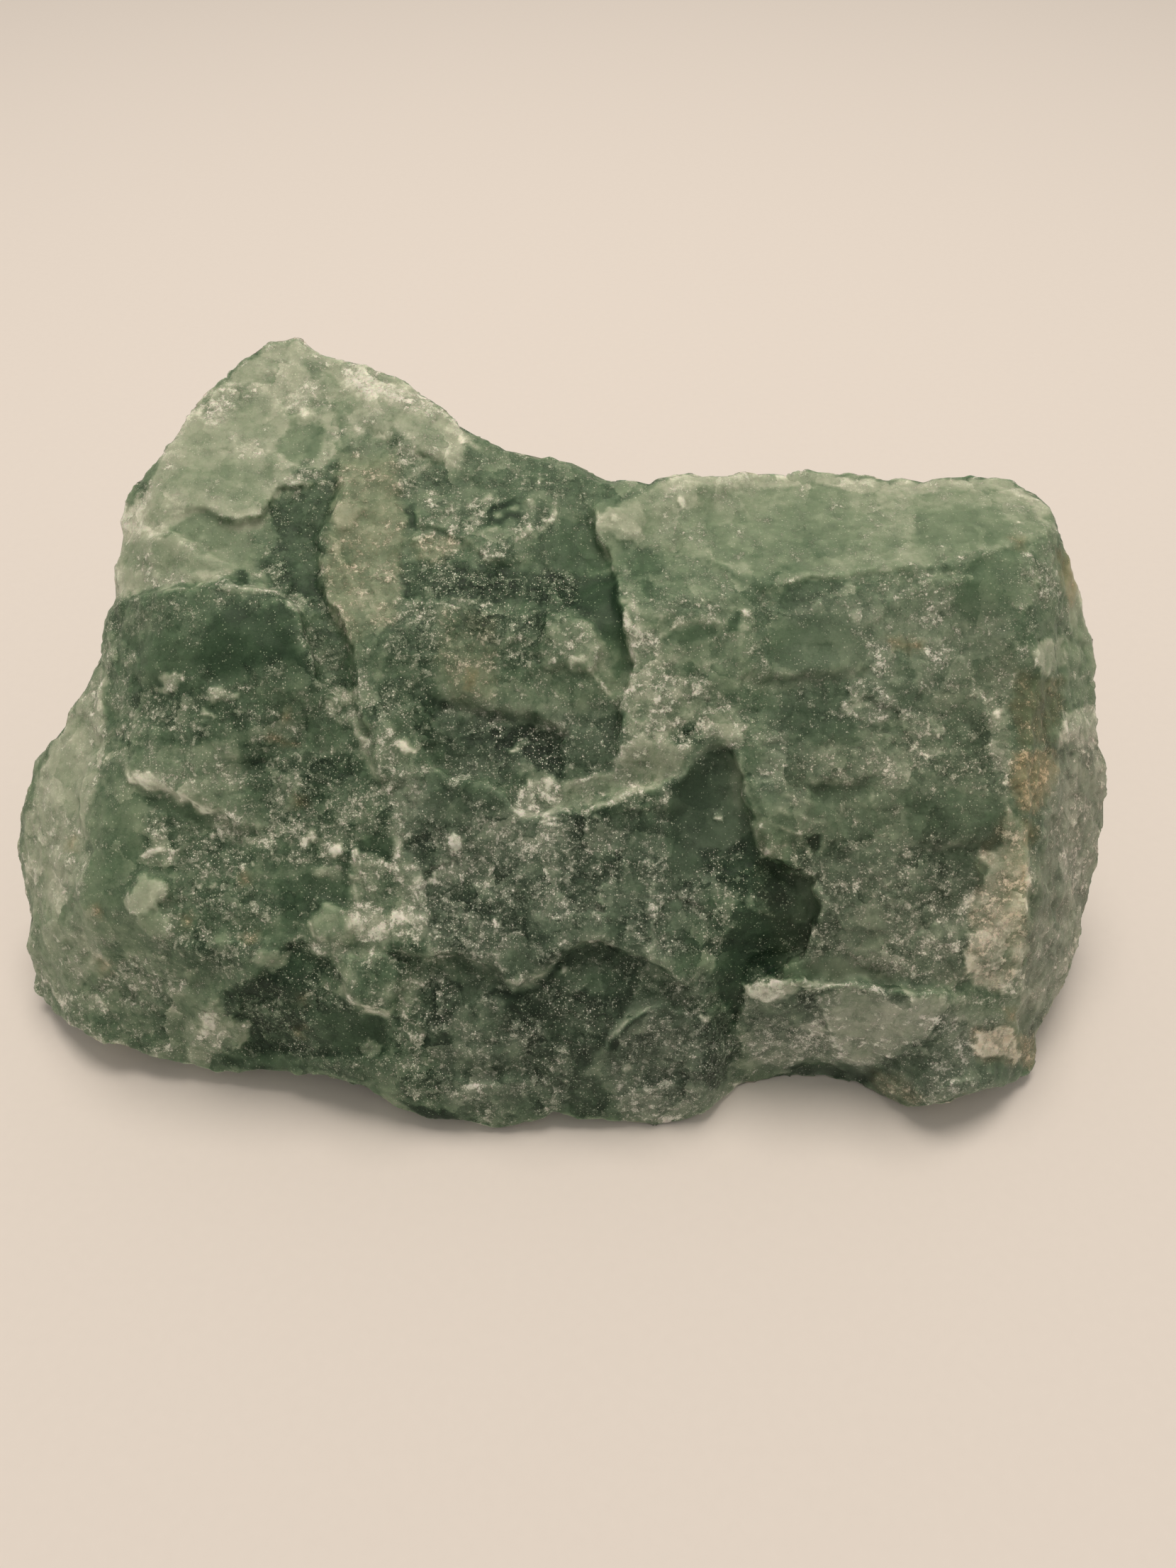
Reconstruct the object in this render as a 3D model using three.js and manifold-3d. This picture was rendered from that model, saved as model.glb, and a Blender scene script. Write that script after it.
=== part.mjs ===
// A rough hand specimen of massive green fluorite, broken out of a larger vein. It is one natural piece,
// about 100 mm wide, lying on its flat broken base with its best face leaning back from the viewer.
//
// The best face is drawn on a sketch plane that stands square to the line of sight of somebody looking
// down at the stone. On it, a runs to the right and b runs up, both in millimetres, and lift is how far
// a spot stands out of the plane towards the eye. Spots that stand out are drawn in towards the line of
// sight, so that the outline stays as it is seen.

import * as THREE from 'three';
import { ImprovedNoise } from 'three/addons/math/ImprovedNoise.js';
import { mergeVertices } from 'three/addons/utils/BufferGeometryUtils.js';
import Module from 'manifold-3d';

// Driving dimensions, in millimetres and degrees
const EYE_HEIGHT = 111;
const EYE_DISTANCE = 117;
const SIGHT_DROP = THREE.MathUtils.degToRad(44);

// The sketch field reaches past the outline on every side, and is covered with spots that are joined up
// into triangles. Spots stand in pairs along every ledge and along the outline, and loosely elsewhere.
const FIELD = { left: -60, right: 56, low: -40, high: 50 };
const FRONT_SPACING = 2.0;
const BACK_SPACING = 3.6;
const OUTER_SPACING = 7;
const LEDGE_STEP = 1.5;
const CLOSEST_SPOTS = 0.34;
const LOOSEST_SHARE = 0.62;
const ROW_SHARE = 0.866;
const STRAY_SHARE = { height: 0.45, width: 0.7 };
const RIM_ROWS = [
  { inner: 0.8, outer: 0.7, closest: 0.68 },
  { inner: 2.0, outer: 2.2, closest: 1.02 },
];

// How deep and how near the cutting blocks reach, as lifts
const FAR_LIFT = -75;
const NEAR_LIFT = 20;
const ROOM_WIDTH = 400;

// The rim: how thick it is at the very edge, how fast it thickens inwards, and how it is worn
const RIM_THICKNESS = 1.6;
const RIM_GROWTH = 0.8;
const RIM_LIMIT = 12;
const RIM_WEAR = 0.9;
const RIM_WEAR_WIDTH = 1.8;

// How softly neighbouring broken faces run into each other, and a cliff's width from top to foot
const FACE_BLEND = 1.6;
const CLIFF_WIDTH = 0.5;

// How a ledge fades out: the length over which its ends taper, and how fast its sides level off
const LONGEST_TAPER = 5;
const LEDGE_FADE = 1.5;

// Hackly roughness of the broken faces, and how far their edges wander: height and width of the waves
const COARSE_WAVE = { height: 0.8, width: 10 };
const FINE_WAVE = { height: 0.38, width: 4.2 };
const EDGE_WANDER = { height: 0.5, width: 2.4 };

// The noise stays within about 0.6, so this brings its waves up to their full height
const WAVE_GAIN = 1.6;

// Each set of waves starts from its own part of the noise
const SEEDS = {
  frontCoarse: 1.3, edgeRight: 3.1, frontFine: 5.9, edgeUp: 7.7, backCoarse: 17.3, backFine: 19.1,
  strayRight: 23.5, strayUp: 29.5,
};

// The outline of the stone, clockwise from the peak of the upper left lobe
const OUTLINE = [
  [-28.1, 40.8], [-27.3, 41.0], [-26.4, 40.9], [-25.5, 40.1], [-24.2, 39.5], [-21.5, 38.8],
  [-19.6, 38.0], [-17.9, 37.5], [-16.6, 36.9], [-15.0, 35.6], [-13.7, 34.7], [-12.6, 33.4],
  [-11.4, 32.2], [-10.4, 32.0], [-8.5, 30.8], [-6.8, 30.3], [-4.2, 30.0], [-1.9, 29.5], [-0.3, 28.8],
  [1.0, 27.8], [3.3, 27.6], [5.3, 27.3], [7.2, 28.1], [8.5, 28.4], [11.1, 28.0], [13.8, 28.3],
  [18.3, 28.5], [21.6, 28.9], [24.5, 28.5], [27.5, 28.0], [30.8, 27.7], [32.7, 28.0], [35.7, 28.3],
  [38.6, 28.0], [39.9, 27.6], [40.9, 27.1], [41.9, 26.2], [42.5, 24.9], [43.2, 23.6], [43.8, 21.3],
  [44.7, 19.0], [45.8, 15.9], [46.6, 13.5], [46.9, 11.8], [46.4, 9.2], [46.9, 6.9], [46.8, 4.0],
  [47.7, 1.7], [47.9, 0.1], [47.5, -3.5], [46.6, -8.1], [45.6, -12.0], [45.1, -15.0], [43.8, -18.2],
  [42.4, -20.8], [41.3, -22.8], [41.5, -23.8], [41.5, -25.8], [40.6, -26.9], [39.6, -27.7],
  [36.6, -28.2], [35.0, -28.6], [32.4, -29.5], [30.1, -29.7], [27.2, -29.2], [23.9, -28.4],
  [20.3, -27.7], [17.7, -27.6], [14.1, -28.2], [12.1, -29.2], [10.2, -30.5], [7.5, -31.6], [6.2, -31.7],
  [4.0, -31.2], [-0.6, -30.7], [-3.2, -30.0], [-4.2, -30.7], [-6.8, -31.5], [-8.5, -31.8],
  [-10.4, -31.1], [-15.0, -30.6], [-17.9, -29.5], [-20.2, -27.9], [-23.5, -27.1], [-28.1, -26.4],
  [-31.3, -26.6], [-34.3, -26.5], [-37.9, -25.7], [-42.5, -24.2], [-46.0, -23.1], [-49.3, -21.0],
  [-50.9, -19.2], [-51.3, -15.6], [-51.0, -12.7], [-51.6, -8.8], [-52.5, -6.1], [-52.1, -2.9],
  [-50.8, 2.0], [-49.5, 3.7], [-48.5, 4.2], [-47.4, 7.1], [-46.0, 8.6], [-44.7, 11.2], [-44.4, 15.1],
  [-43.2, 16.9], [-43.7, 20.0], [-42.6, 22.3], [-43.0, 24.1], [-42.3, 25.9], [-41.1, 27.8],
  [-38.5, 31.0], [-36.2, 34.6], [-32.8, 38.1], [-30.6, 39.5],
];

// Broken faces, each with the lift at one spot and what the lift gains per millimetre right and up
const RIGHT_FACES = [
  { name: 'best face', at: [0, 0], lift: 1.6, right: 0.0, up: -0.01 },
  { name: 'smooth upper slab', at: [20, 19.3], lift: -0.4, right: 0.15, up: -1.22 },
  { name: 'right flank', at: [42, 0], lift: 0.2, right: -1.9, up: -0.05 },
  { name: 'lower right', at: [30, -21], lift: 0.2, right: -0.5, up: 0.75 },
  { name: 'toe', at: [0, -19.5], lift: 1.2, right: 0.0, up: 0.66 },
  { name: 'fall to the middle', at: [-10, 0], lift: 0.4, right: 0.3, up: 0 },
];
const LEFT_FACES = [
  { name: 'lower left block', at: [-32, -4], lift: 0.6, right: 0.03, up: 0.04 },
  { name: 'upper left lobe', at: [-27, 18], lift: -1.2, right: -0.02, up: -0.5 },
  { name: 'left flank', at: [-42.5, 0], lift: 0.2, right: 1.2, up: -0.3 },
  { name: 'lower left', at: [-40, -15], lift: -1.6, right: 0.55, up: 1.0 },
  { name: 'toe', at: [0, -19.5], lift: 0.8, right: 0.0, up: 0.7 },
  { name: 'fall to the right', at: [-3, 10], lift: -1.2, right: -0.35, up: -0.1 },
];

// The lower edge stands out over the ground in some places and sinks back on to it in others. Each row is
// a place, in millimetres right, the lift of the edge there, and how far in from the edge that is felt.
const FOOT = [
  [-53, -5, 12], [-50, -4, 12], [-47.5, 1, 8], [-45, 1.5, 6], [-43, 0, 6], [-36, -1.5, 6], [-28, -2.4, 6],
  [-22, -0.5, 6], [-17, 0, 6], [11, 0, 6], [13.8, -6.5, 16], [19, -7.5, 20], [26.8, -6, 18],
  [29.4, -1, 8], [32, 3.5, 6], [35, 5, 6], [38, 4.5, 6], [41, 0, 8], [44, -6, 12], [49, -9, 14],
];
const FOOT_HEIGHT = { full: -12, none: 0 };

// Ledges. Walking each line in order, the ground on the left stands higher than the ground on the right.
// The high side fades out over its width, and so does the low side.
const LEDGES = [
  { name: 'top and right edge of the lower left block', rise: 2.0, over: 24, drop: 0.7, below: 4,
    line: [[-21.5, 5.0], [-23.5, 7.9], [-24.8, 9.7], [-25.5, 11.5], [-26.1, 13.5], [-26.9, 15.8],
      [-28.2, 17.4], [-31.7, 18.0], [-34.6, 18.6], [-37.9, 18.2], [-41.1, 17.5], [-43.1, 16.9],
      [-44.7, 15.1]] },
  { name: 'lower edge of the upper left lobe', rise: 0.8, over: 9, drop: 0.4, below: 4,
    line: [[-38.9, 24.2], [-37.7, 25.0], [-35.3, 25.1], [-34.0, 24.5], [-31.7, 24.3], [-30.0, 24.6],
      [-29.1, 25.6], [-28.1, 26.8], [-25.5, 27.5], [-23.5, 29.2]] },
  { name: 'shelf behind the block', rise: 0.8, over: 5, drop: 0.4, below: 3,
    line: [[-31.7, 19.2], [-32.6, 20.7], [-35.3, 21.6], [-39.2, 23.1], [-43.0, 22.3]] },
  { name: 'left side of the middle ridge', rise: 1.2, over: 8, drop: 0.7, below: 4,
    line: [[-22.7, 30.5], [-23.2, 26.5], [-24.3, 22.6], [-24.5, 20.0], [-24.0, 16.7], [-22.2, 13.5],
      [-21.3, 6.9], [-19.6, 3.0], [-18.3, -1.6]] },
  { name: 'left edge of the right slab', rise: 1.5, over: 12, drop: 0.5, below: 6,
    line: [[6.2, 27.8], [4.0, 27.0], [1.0, 25.6], [0.8, 23.3], [1.7, 20.7], [2.6, 18.0], [3.4, 15.4],
      [4.2, 10.8], [3.1, 8.4], [3.3, 6.3], [3.0, 3.7], [2.0, 0.7]] },
  { name: 'top edge of the middle mass', rise: 1.2, over: 13, drop: 0.6, below: 5,
    line: [[10.2, 4.0], [7.9, 0.7], [4.9, -0.3], [2.6, -1.2], [0.0, -2.5], [-2.6, -2.2], [-5.8, -2.9],
      [-8.5, 0.1], [-12.4, 0.7], [-15.7, 2.4]] },
  { name: 'lower edge of the middle mass', rise: 0.9, over: 15, drop: 1.3, below: 9,
    line: [[-21.2, -14.6], [-17.6, -15.6], [-14.3, -15.9], [-9.1, -16.6], [-8.1, -18.0], [-6.5, -18.4],
      [-4.5, -17.8], [-2.6, -15.7], [1.3, -14.4], [3.3, -15.6], [7.2, -17.3], [8.5, -18.2],
      [10.5, -17.3], [11.5, -15.3]] },
  { name: 'right wall of the dark scoop', rise: 0.4, over: 6, drop: 2.1, below: 13,
    line: [[10.2, 4.0], [13.3, 3.0], [14.1, 0.4], [14.8, -2.9], [15.8, -6.3], [17.7, -7.1],
      [20.6, -8.6], [21.3, -11.7], [20.3, -14.6], [18.5, -16.3], [15.2, -18.3], [14.1, -19.9],
      [13.8, -23.1], [14.4, -26.4]] },
  { name: 'ledge of the lower right chunk', rise: 1.7, over: 8, drop: 0.7, below: 5,
    line: [[36.6, -18.2], [32.7, -19.2], [27.5, -19.0], [22.9, -18.2], [19.6, -17.6], [16.0, -18.4],
      [14.4, -19.6]] },
  { name: 'slanting ridge of the block', rise: 0.7, over: 6, drop: 0.9, below: 5,
    line: [[-44.4, 1.7], [-42.1, 0.7], [-37.9, -0.9], [-35.3, -2.5], [-32.6, -3.9], [-28.1, -4.8]] },
  { name: 'upper rim of the dark hollow', rise: 0.2, over: 5, drop: 1.2, below: 6.5,
    line: [[-15.7, 6.9], [-12.4, 7.8], [-8.5, 6.9], [-4.5, 6.1], [-1.9, 4.3], [-1.5, 1.0]] },
  { name: 'edge of the right flank', rise: 0.5, over: 4, drop: 1.0, below: 6,
    line: [[40.6, -25.8], [39.9, -21.2], [40.6, -15.9], [41.3, -9.4], [40.2, -2.2], [40.9, 3.0],
      [42.4, 9.5], [43.5, 13.5], [44.0, 20.0]] },
  { name: 'lower edge of the smooth upper slab', rise: 0.4, over: 6, drop: 0.3, below: 5,
    line: [[4.9, 21.6], [8.5, 22.0], [11.1, 20.7], [13.8, 18.7], [17.7, 17.7], [19.6, 18.6],
      [24.2, 19.0], [30.1, 20.0], [35.7, 20.3], [39.6, 22.1], [43.0, 23.1]] },
  { name: 'upper ledge of the right slab', rise: 0.2, over: 4, drop: 0.8, below: 5,
    line: [[12.5, 9.2], [16.4, 9.9], [20.9, 9.7], [26.2, 10.2]] },
  { name: 'middle ledge of the right slab', rise: 0.2, over: 4, drop: 0.8, below: 4,
    line: [[14.7, 0.1], [19.0, 0.5], [24.2, 0.1], [28.1, 1.0]] },
  { name: 'lower ledge of the right slab', rise: 0.3, over: 4, drop: 0.8, below: 4,
    line: [[28.8, -6.1], [32.7, -5.4], [37.3, -5.6], [40.2, -4.8]] },
  { name: 'small ridge high on the middle slab', rise: 0.7, over: 5, drop: 0.5, below: 5,
    line: [[-17.6, 23.8], [-15.0, 23.4], [-12.4, 22.9], [-9.8, 20.7], [-5.8, 20.0]] },
  { name: 'arched plate in the toe', rise: 0.9, over: 7, drop: 0.3, below: 2,
    line: [[11.3, -22.2], [8.5, -20.5], [5.3, -20.5], [3.3, -21.8], [1.9, -23.9]] },
  { name: 'scales along the lower left edge', rise: 0.8, over: 5, drop: 0.3, below: 3,
    line: [[-31.7, -18.2], [-34.6, -19.2], [-38.2, -18.7], [-41.8, -20.0], [-46.4, -19.3],
      [-50.2, -19.2]] },
  { name: 'lower edge of the smooth slab on the crest', rise: 0.6, over: 7, drop: 0.3, below: 3,
    line: [[-23.2, 33.9], [-20.2, 32.8], [-17.9, 31.4], [-15.0, 30.1], [-11.9, 29.5], [-10.6, 31.6]] },
  { name: 'seam between the left flank and the block', rise: 0.5, over: 5, drop: 0.9, below: 5,
    line: [[-44.4, 13.5], [-44.9, 9.5], [-45.1, 3.7], [-46.5, -0.3], [-46.2, -6.1], [-47.2, -10.1],
      [-45.1, -15.3], [-43.8, -19.2]] },
  { name: 'upper step on the right flank', rise: 0.8, over: 4, drop: 0.5, below: 4,
    line: [[42.5, 2.2], [44.2, 4.0], [46.1, 5.0], [47.5, 4.6]] },
  { name: 'lower step on the right flank', rise: 0.6, over: 4, drop: 0.8, below: 5,
    line: [[41.3, -12.0], [43.2, -10.7], [45.1, -11.7]] },
  { name: 'standing rib in the lower right chunk', rise: 0.8, over: 6, drop: 0.4, below: 3,
    line: [[21.3, -19.2], [21.8, -22.5], [22.9, -25.1], [24.5, -27.4]] },
  { name: 'lip over the hollow under the lower right chunk', rise: 0.4, over: 4, drop: 1.6, below: 4,
    line: [[15.1, -26.5], [17.7, -25.6], [20.3, -25.8], [24.2, -26.1], [27.8, -28.0]] },
  { name: 'low scale at the right corner', rise: 0.8, over: 5, drop: 0.5, below: 3,
    line: [[40.9, -26.3], [37.3, -25.8], [34.0, -26.9], [30.1, -28.4]] },
  { name: 'front tip of the toe', rise: 0.7, over: 4, drop: 0.4, below: 3,
    line: [[11.1, -28.0], [7.9, -27.4], [4.9, -28.4], [2.8, -29.8]] },
  { name: 'step low in the toe', rise: 0.8, over: 5, drop: 0.6, below: 4,
    line: [[-2.6, -27.7], [-5.8, -26.7], [-9.1, -27.7], [-13.7, -26.4], [-17.6, -27.4]] },
  { name: 'step beside the powdery patch', rise: 0.6, over: 6, drop: 0.8, below: 4,
    line: [[-28.1, -14.6], [-32.6, -13.9], [-35.9, -14.6], [-40.2, -14.1]] },
];

// Plates stand up from the face and pits sink into it, over the whole of their own outline
const PLATES = [
  { name: 'dark recess beside the block', lift: -1.1,
    edge: [[-31.7, -18.9], [-29.9, -17.1], [-27.7, -14.8], [-25.5, -15.3], [-23.4, -16.3],
      [-22.7, -19.2], [-19.2, -21.7], [-18.4, -24.4], [-21.5, -25.0], [-31.7, -24.7], [-32.3, -21.8]] },
  { name: 'oval plate above the recess', lift: 0.9,
    edge: [[-25.7, -12.7], [-24.2, -10.8], [-22.2, -11.1], [-21.2, -12.7], [-21.5, -15.0],
      [-23.5, -14.8], [-25.1, -14.1]] },
  { name: 'oval plate beside the recess', lift: 0.9,
    edge: [[-22.2, -16.1], [-18.9, -15.4], [-16.3, -16.6], [-17.5, -19.2], [-18.3, -20.9],
      [-20.2, -21.2], [-22.1, -19.2]] },
  { name: 'pale chip on the block', lift: 0.7,
    edge: [[-41.8, -8.8], [-40.2, -8.4], [-38.5, -9.9], [-39.3, -12.0], [-38.0, -13.5], [-40.5, -14.1],
      [-42.3, -11.9]] },
  { name: 'bright plate at the lower left', lift: 0.8,
    edge: [[-37.4, -19.9], [-34.6, -19.1], [-31.7, -20.5], [-31.3, -23.1], [-33.3, -25.0],
      [-36.6, -24.4]] },
  { name: 'smooth plate in the toe', lift: 0.7,
    edge: [[-11.4, -19.9], [-8.5, -19.1], [-5.3, -20.0], [-5.1, -23.8], [-7.2, -25.9], [-10.8, -25.1]] },
  { name: 'triangular plate beside the scoop', lift: 0.6,
    edge: [[15.2, 0.5], [20.3, -0.3], [20.0, -5.8], [16.7, -6.1]] },
  { name: 'rough chip on the middle slab', lift: 0.4,
    edge: [[-3.9, 15.1], [-0.6, 15.6], [1.5, 13.1], [0.7, 10.5], [-2.6, 11.5]] },
];

// Broken faces at the back and under the ends, each through one spot, with the way that it faces.
// These spots are measured from the ground straight below the eye: right, away and up.
const BACK_FACES = [
  { name: 'main back face', through: [0, 115, 42], faces: [0.12, 1, -0.26] },
  { name: 'right back face', through: [51, 97, 20], faces: [0.8, 0.6, -0.12] },
  { name: 'left back face', through: [-57, 94, 16], faces: [-0.62, 0.75, -0.2] },
  { name: 'upper back face', through: [0, 118, 41], faces: [-0.05, 0.8, 0.5] },
  { name: 'underside of the left end', through: [-57, 80, 3.6], faces: [-0.11, -0.1, -1] },
  { name: 'underside of the right end', through: [45, 72, 3.2], faces: [0.11, -0.1, -1] },
];

// Ledges on the back, in the same sketch coordinates. The ground on the left stands further out.
const BACK_LEDGES = [
  { name: 'high step', rise: 1.6, over: 14, drop: 0.8, below: 5,
    line: [[46, 6], [34, 12], [18, 9], [2, 15], [-14, 13], [-30, 20]] },
  { name: 'slanting step', rise: 1.8, over: 12, drop: 0.8, below: 5,
    line: [[-44, 12], [-32, 4], [-22, 6], [-10, -4]] },
  { name: 'low step', rise: 1.4, over: 9, drop: 0.6, below: 5,
    line: [[40, -4], [26, -2], [12, -7], [-4, -3]] },
];

const EYE = new THREE.Vector3(0, 0, EYE_HEIGHT);
const wasm = await Module();
wasm.setup();
const grain = new ImprovedNoise();
const frontLedges = LEDGES.map(breakLedge);
const backLedges = BACK_LEDGES.map(breakLedge);
const plates = PLATES.map((plate) => ({ ...plate, closed: true, line: makeRagged(plate.edge, true) }));

// A wave of roughness between about minus and plus its height; the seed picks a fresh part of it
function wave(a, b, { height, width }, seed) {
  return height * WAVE_GAIN * grain.noise(a / width + seed, b / width - seed, seed * 1.7);
}

// The lower of two lifts, with a soft crease between them, and the higher of two
function softMin(first, second) {
  const nearness = Math.max(0, 1 - Math.abs(first - second) / FACE_BLEND);
  return Math.min(first, second) - nearness * nearness * FACE_BLEND / 4;
}

function softMax(first, second) {
  return -softMin(-first, -second);
}

// A line walked in steps of about one length, with its corners kept, and each spot pushed about a little
function makeRagged(points, closed) {
  const ragged = [];
  const legs = closed ? points.length : points.length - 1;
  for (let i = 0; i < legs; i += 1) {
    const [a1, b1] = points[i];
    const [a2, b2] = points[(i + 1) % points.length];
    const steps = Math.max(1, Math.round(Math.hypot(a2 - a1, b2 - b1) / LEDGE_STEP));
    for (let step = 0; step < steps; step += 1) {
      ragged.push([a1 + (a2 - a1) * step / steps, b1 + (b2 - b1) * step / steps]);
    }
  }
  if (!closed) {
    ragged.push(points[points.length - 1]);
  }
  return ragged.map(([a, b]) => [
    a + wave(a, b, EDGE_WANDER, SEEDS.edgeRight),
    b + wave(a, b, EDGE_WANDER, SEEDS.edgeUp),
  ]);
}

function breakLedge(ledge) {
  return { ...ledge, closed: false, line: makeRagged(ledge.line, false) };
}

// How far a spot is from a line of points, which side of it the spot is on, and how far along it is
function measureLine(a, b, points, closed) {
  const legs = closed ? points.length : points.length - 1;
  const best = { distance: Infinity, side: 1, along: 0, total: 0 };
  for (let i = 0; i < legs; i += 1) {
    const start = points[i];
    const next = points[(i + 1) % points.length];
    const run = [next[0] - start[0], next[1] - start[1]];
    const length = Math.hypot(...run);
    const gap = [a - start[0], b - start[1]];
    const share = THREE.MathUtils.clamp((gap[0] * run[0] + gap[1] * run[1]) / length ** 2, 0, 1);
    const distance = Math.hypot(gap[0] - share * run[0], gap[1] - share * run[1]);
    if (distance < best.distance) {
      best.distance = distance;
      best.side = run[0] * gap[1] - run[1] * gap[0] >= 0 ? 1 : -1;
      best.along = best.total + share * length;
    }
    best.total += length;
  }
  return best;
}

// True inside a closed outline
function isInside(a, b, points) {
  let inside = false;
  for (let i = 0; i < points.length; i += 1) {
    const [a1, b1] = points[i];
    const [a2, b2] = points[(i + 1) % points.length];
    if ((b1 > b) !== (b2 > b) && a < a1 + (a2 - a1) * (b - b1) / (b2 - b1)) {
      inside = !inside;
    }
  }
  return inside;
}

// How deep inside a closed outline a spot lies, and less than nothing outside it
function depthInside(a, b, points) {
  const { distance } = measureLine(a, b, points, true);
  return isInside(a, b, points) ? distance : -distance;
}

// From 0 at the foot of a cliff to 1 at its top
function climb(distance) {
  return THREE.MathUtils.smoothstep(distance, -CLIFF_WIDTH / 2, CLIFF_WIDTH / 2);
}

function ledgeLift(a, b, ledge) {
  const { distance, side, along, total } = measureLine(a, b, ledge.line, false);
  if (distance > Math.max(ledge.over, ledge.below)) {
    return 0;
  }
  const taper = Math.min(LONGEST_TAPER, total / 3);
  const start = THREE.MathUtils.smoothstep(along, 0, taper);
  const finish = THREE.MathUtils.smoothstep(total - along, 0, taper);
  const high = ledge.rise * Math.max(0, 1 - distance / ledge.over) ** LEDGE_FADE;
  const low = -ledge.drop * Math.max(0, 1 - distance / ledge.below) ** LEDGE_FADE;
  return start * finish * THREE.MathUtils.lerp(low, high, climb(side * distance));
}

function faceLift(a, b, { at, lift, right, up }) {
  return lift + right * (a - at[0]) + up * (b - at[1]);
}

// How far the edge of the foot stands out or sinks back
function footLift(a, b) {
  const low = THREE.MathUtils.clamp((FOOT_HEIGHT.none - b) / (FOOT_HEIGHT.none - FOOT_HEIGHT.full), 0, 1);
  const depth = Math.max(0, depthInside(a, b, OUTLINE));
  const next = FOOT.findIndex(([right]) => right > a);
  if (low === 0 || next < 1) {
    return 0;
  }
  const share = (a - FOOT[next - 1][0]) / (FOOT[next][0] - FOOT[next - 1][0]);
  const lift = THREE.MathUtils.lerp(FOOT[next - 1][1], FOOT[next][1], share);
  const reach = THREE.MathUtils.lerp(FOOT[next - 1][2], FOOT[next][2], share);
  return lift * low * Math.max(0, 1 - depth / reach) ** 1.5;
}

// The broad form of the best face: two lumps, each bounded by its own broken faces
function broadLift(a, b) {
  const rightLump = RIGHT_FACES.map((face) => faceLift(a, b, face)).reduce(softMin);
  const leftLump = LEFT_FACES.map((face) => faceLift(a, b, face)).reduce(softMin);
  return softMax(rightLump, leftLump) + footLift(a, b);
}

function frontLift(a, b) {
  let lift = broadLift(a, b);
  lift += wave(a, b, COARSE_WAVE, SEEDS.frontCoarse) + wave(a, b, FINE_WAVE, SEEDS.frontFine);
  for (const ledge of frontLedges) {
    lift += ledgeLift(a, b, ledge);
  }
  for (const plate of plates) {
    lift += plate.lift * climb(depthInside(a, b, plate.line));
  }
  const worn = Math.max(0, 1 - Math.max(0, depthInside(a, b, OUTLINE)) / RIM_WEAR_WIDTH);
  return lift - RIM_WEAR * worn * worn;
}

// The line of sight through a sketch spot, from the eye to the sketch plane
function sightLine(a, b) {
  const away = b * Math.sin(SIGHT_DROP) + EYE_DISTANCE * Math.cos(SIGHT_DROP);
  const up = b * Math.cos(SIGHT_DROP) - EYE_DISTANCE * Math.sin(SIGHT_DROP);
  return new THREE.Vector3(a, away, up);
}

// A sketch spot at a lift, as a real place
function place(a, b, lift) {
  return sightLine(a, b).multiplyScalar(1 - lift / EYE_DISTANCE).add(EYE);
}

// Where the line of sight through a sketch spot leaves the stone by a face at its back, as a lift
function backFaceLift(a, b, { through, faces }) {
  const normal = new THREE.Vector3(...faces);
  const across = normal.dot(sightLine(a, b));
  if (across <= 0) {
    return FAR_LIFT;
  }
  const reach = normal.dot(new THREE.Vector3(...through).sub(EYE)) / across;
  return THREE.MathUtils.clamp(EYE_DISTANCE * (1 - reach), FAR_LIFT, NEAR_LIFT);
}

function backLift(a, b) {
  let lift = BACK_FACES.map((face) => backFaceLift(a, b, face)).reduce(softMax);
  lift += wave(a, b, COARSE_WAVE, SEEDS.backCoarse) + wave(a, b, FINE_WAVE, SEEDS.backFine);
  for (const ledge of backLedges) {
    lift -= ledgeLift(a, b, ledge);
  }
  const inward = Math.max(0, depthInside(a, b, OUTLINE));
  const thickness = Math.min(RIM_LIMIT, RIM_THICKNESS + RIM_GROWTH * inward);
  return Math.min(lift, broadLift(a, b) - thickness);
}

// Spots in pairs along a line, one on each side of it
function pairAlong(points, closed, leftGap, rightGap) {
  const spots = [];
  const count = points.length;
  for (let i = 0; i < count; i += 1) {
    const before = points[closed ? (i + count - 1) % count : Math.max(0, i - 1)];
    const after = points[closed ? (i + 1) % count : Math.min(count - 1, i + 1)];
    const run = [after[0] - before[0], after[1] - before[1]];
    const length = Math.hypot(...run);
    const left = [-run[1] / length, run[0] / length];
    spots.push([points[i][0] + left[0] * leftGap, points[i][1] + left[1] * leftGap]);
    spots.push([points[i][0] - left[0] * rightGap, points[i][1] - left[1] * rightGap]);
  }
  return spots;
}

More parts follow.
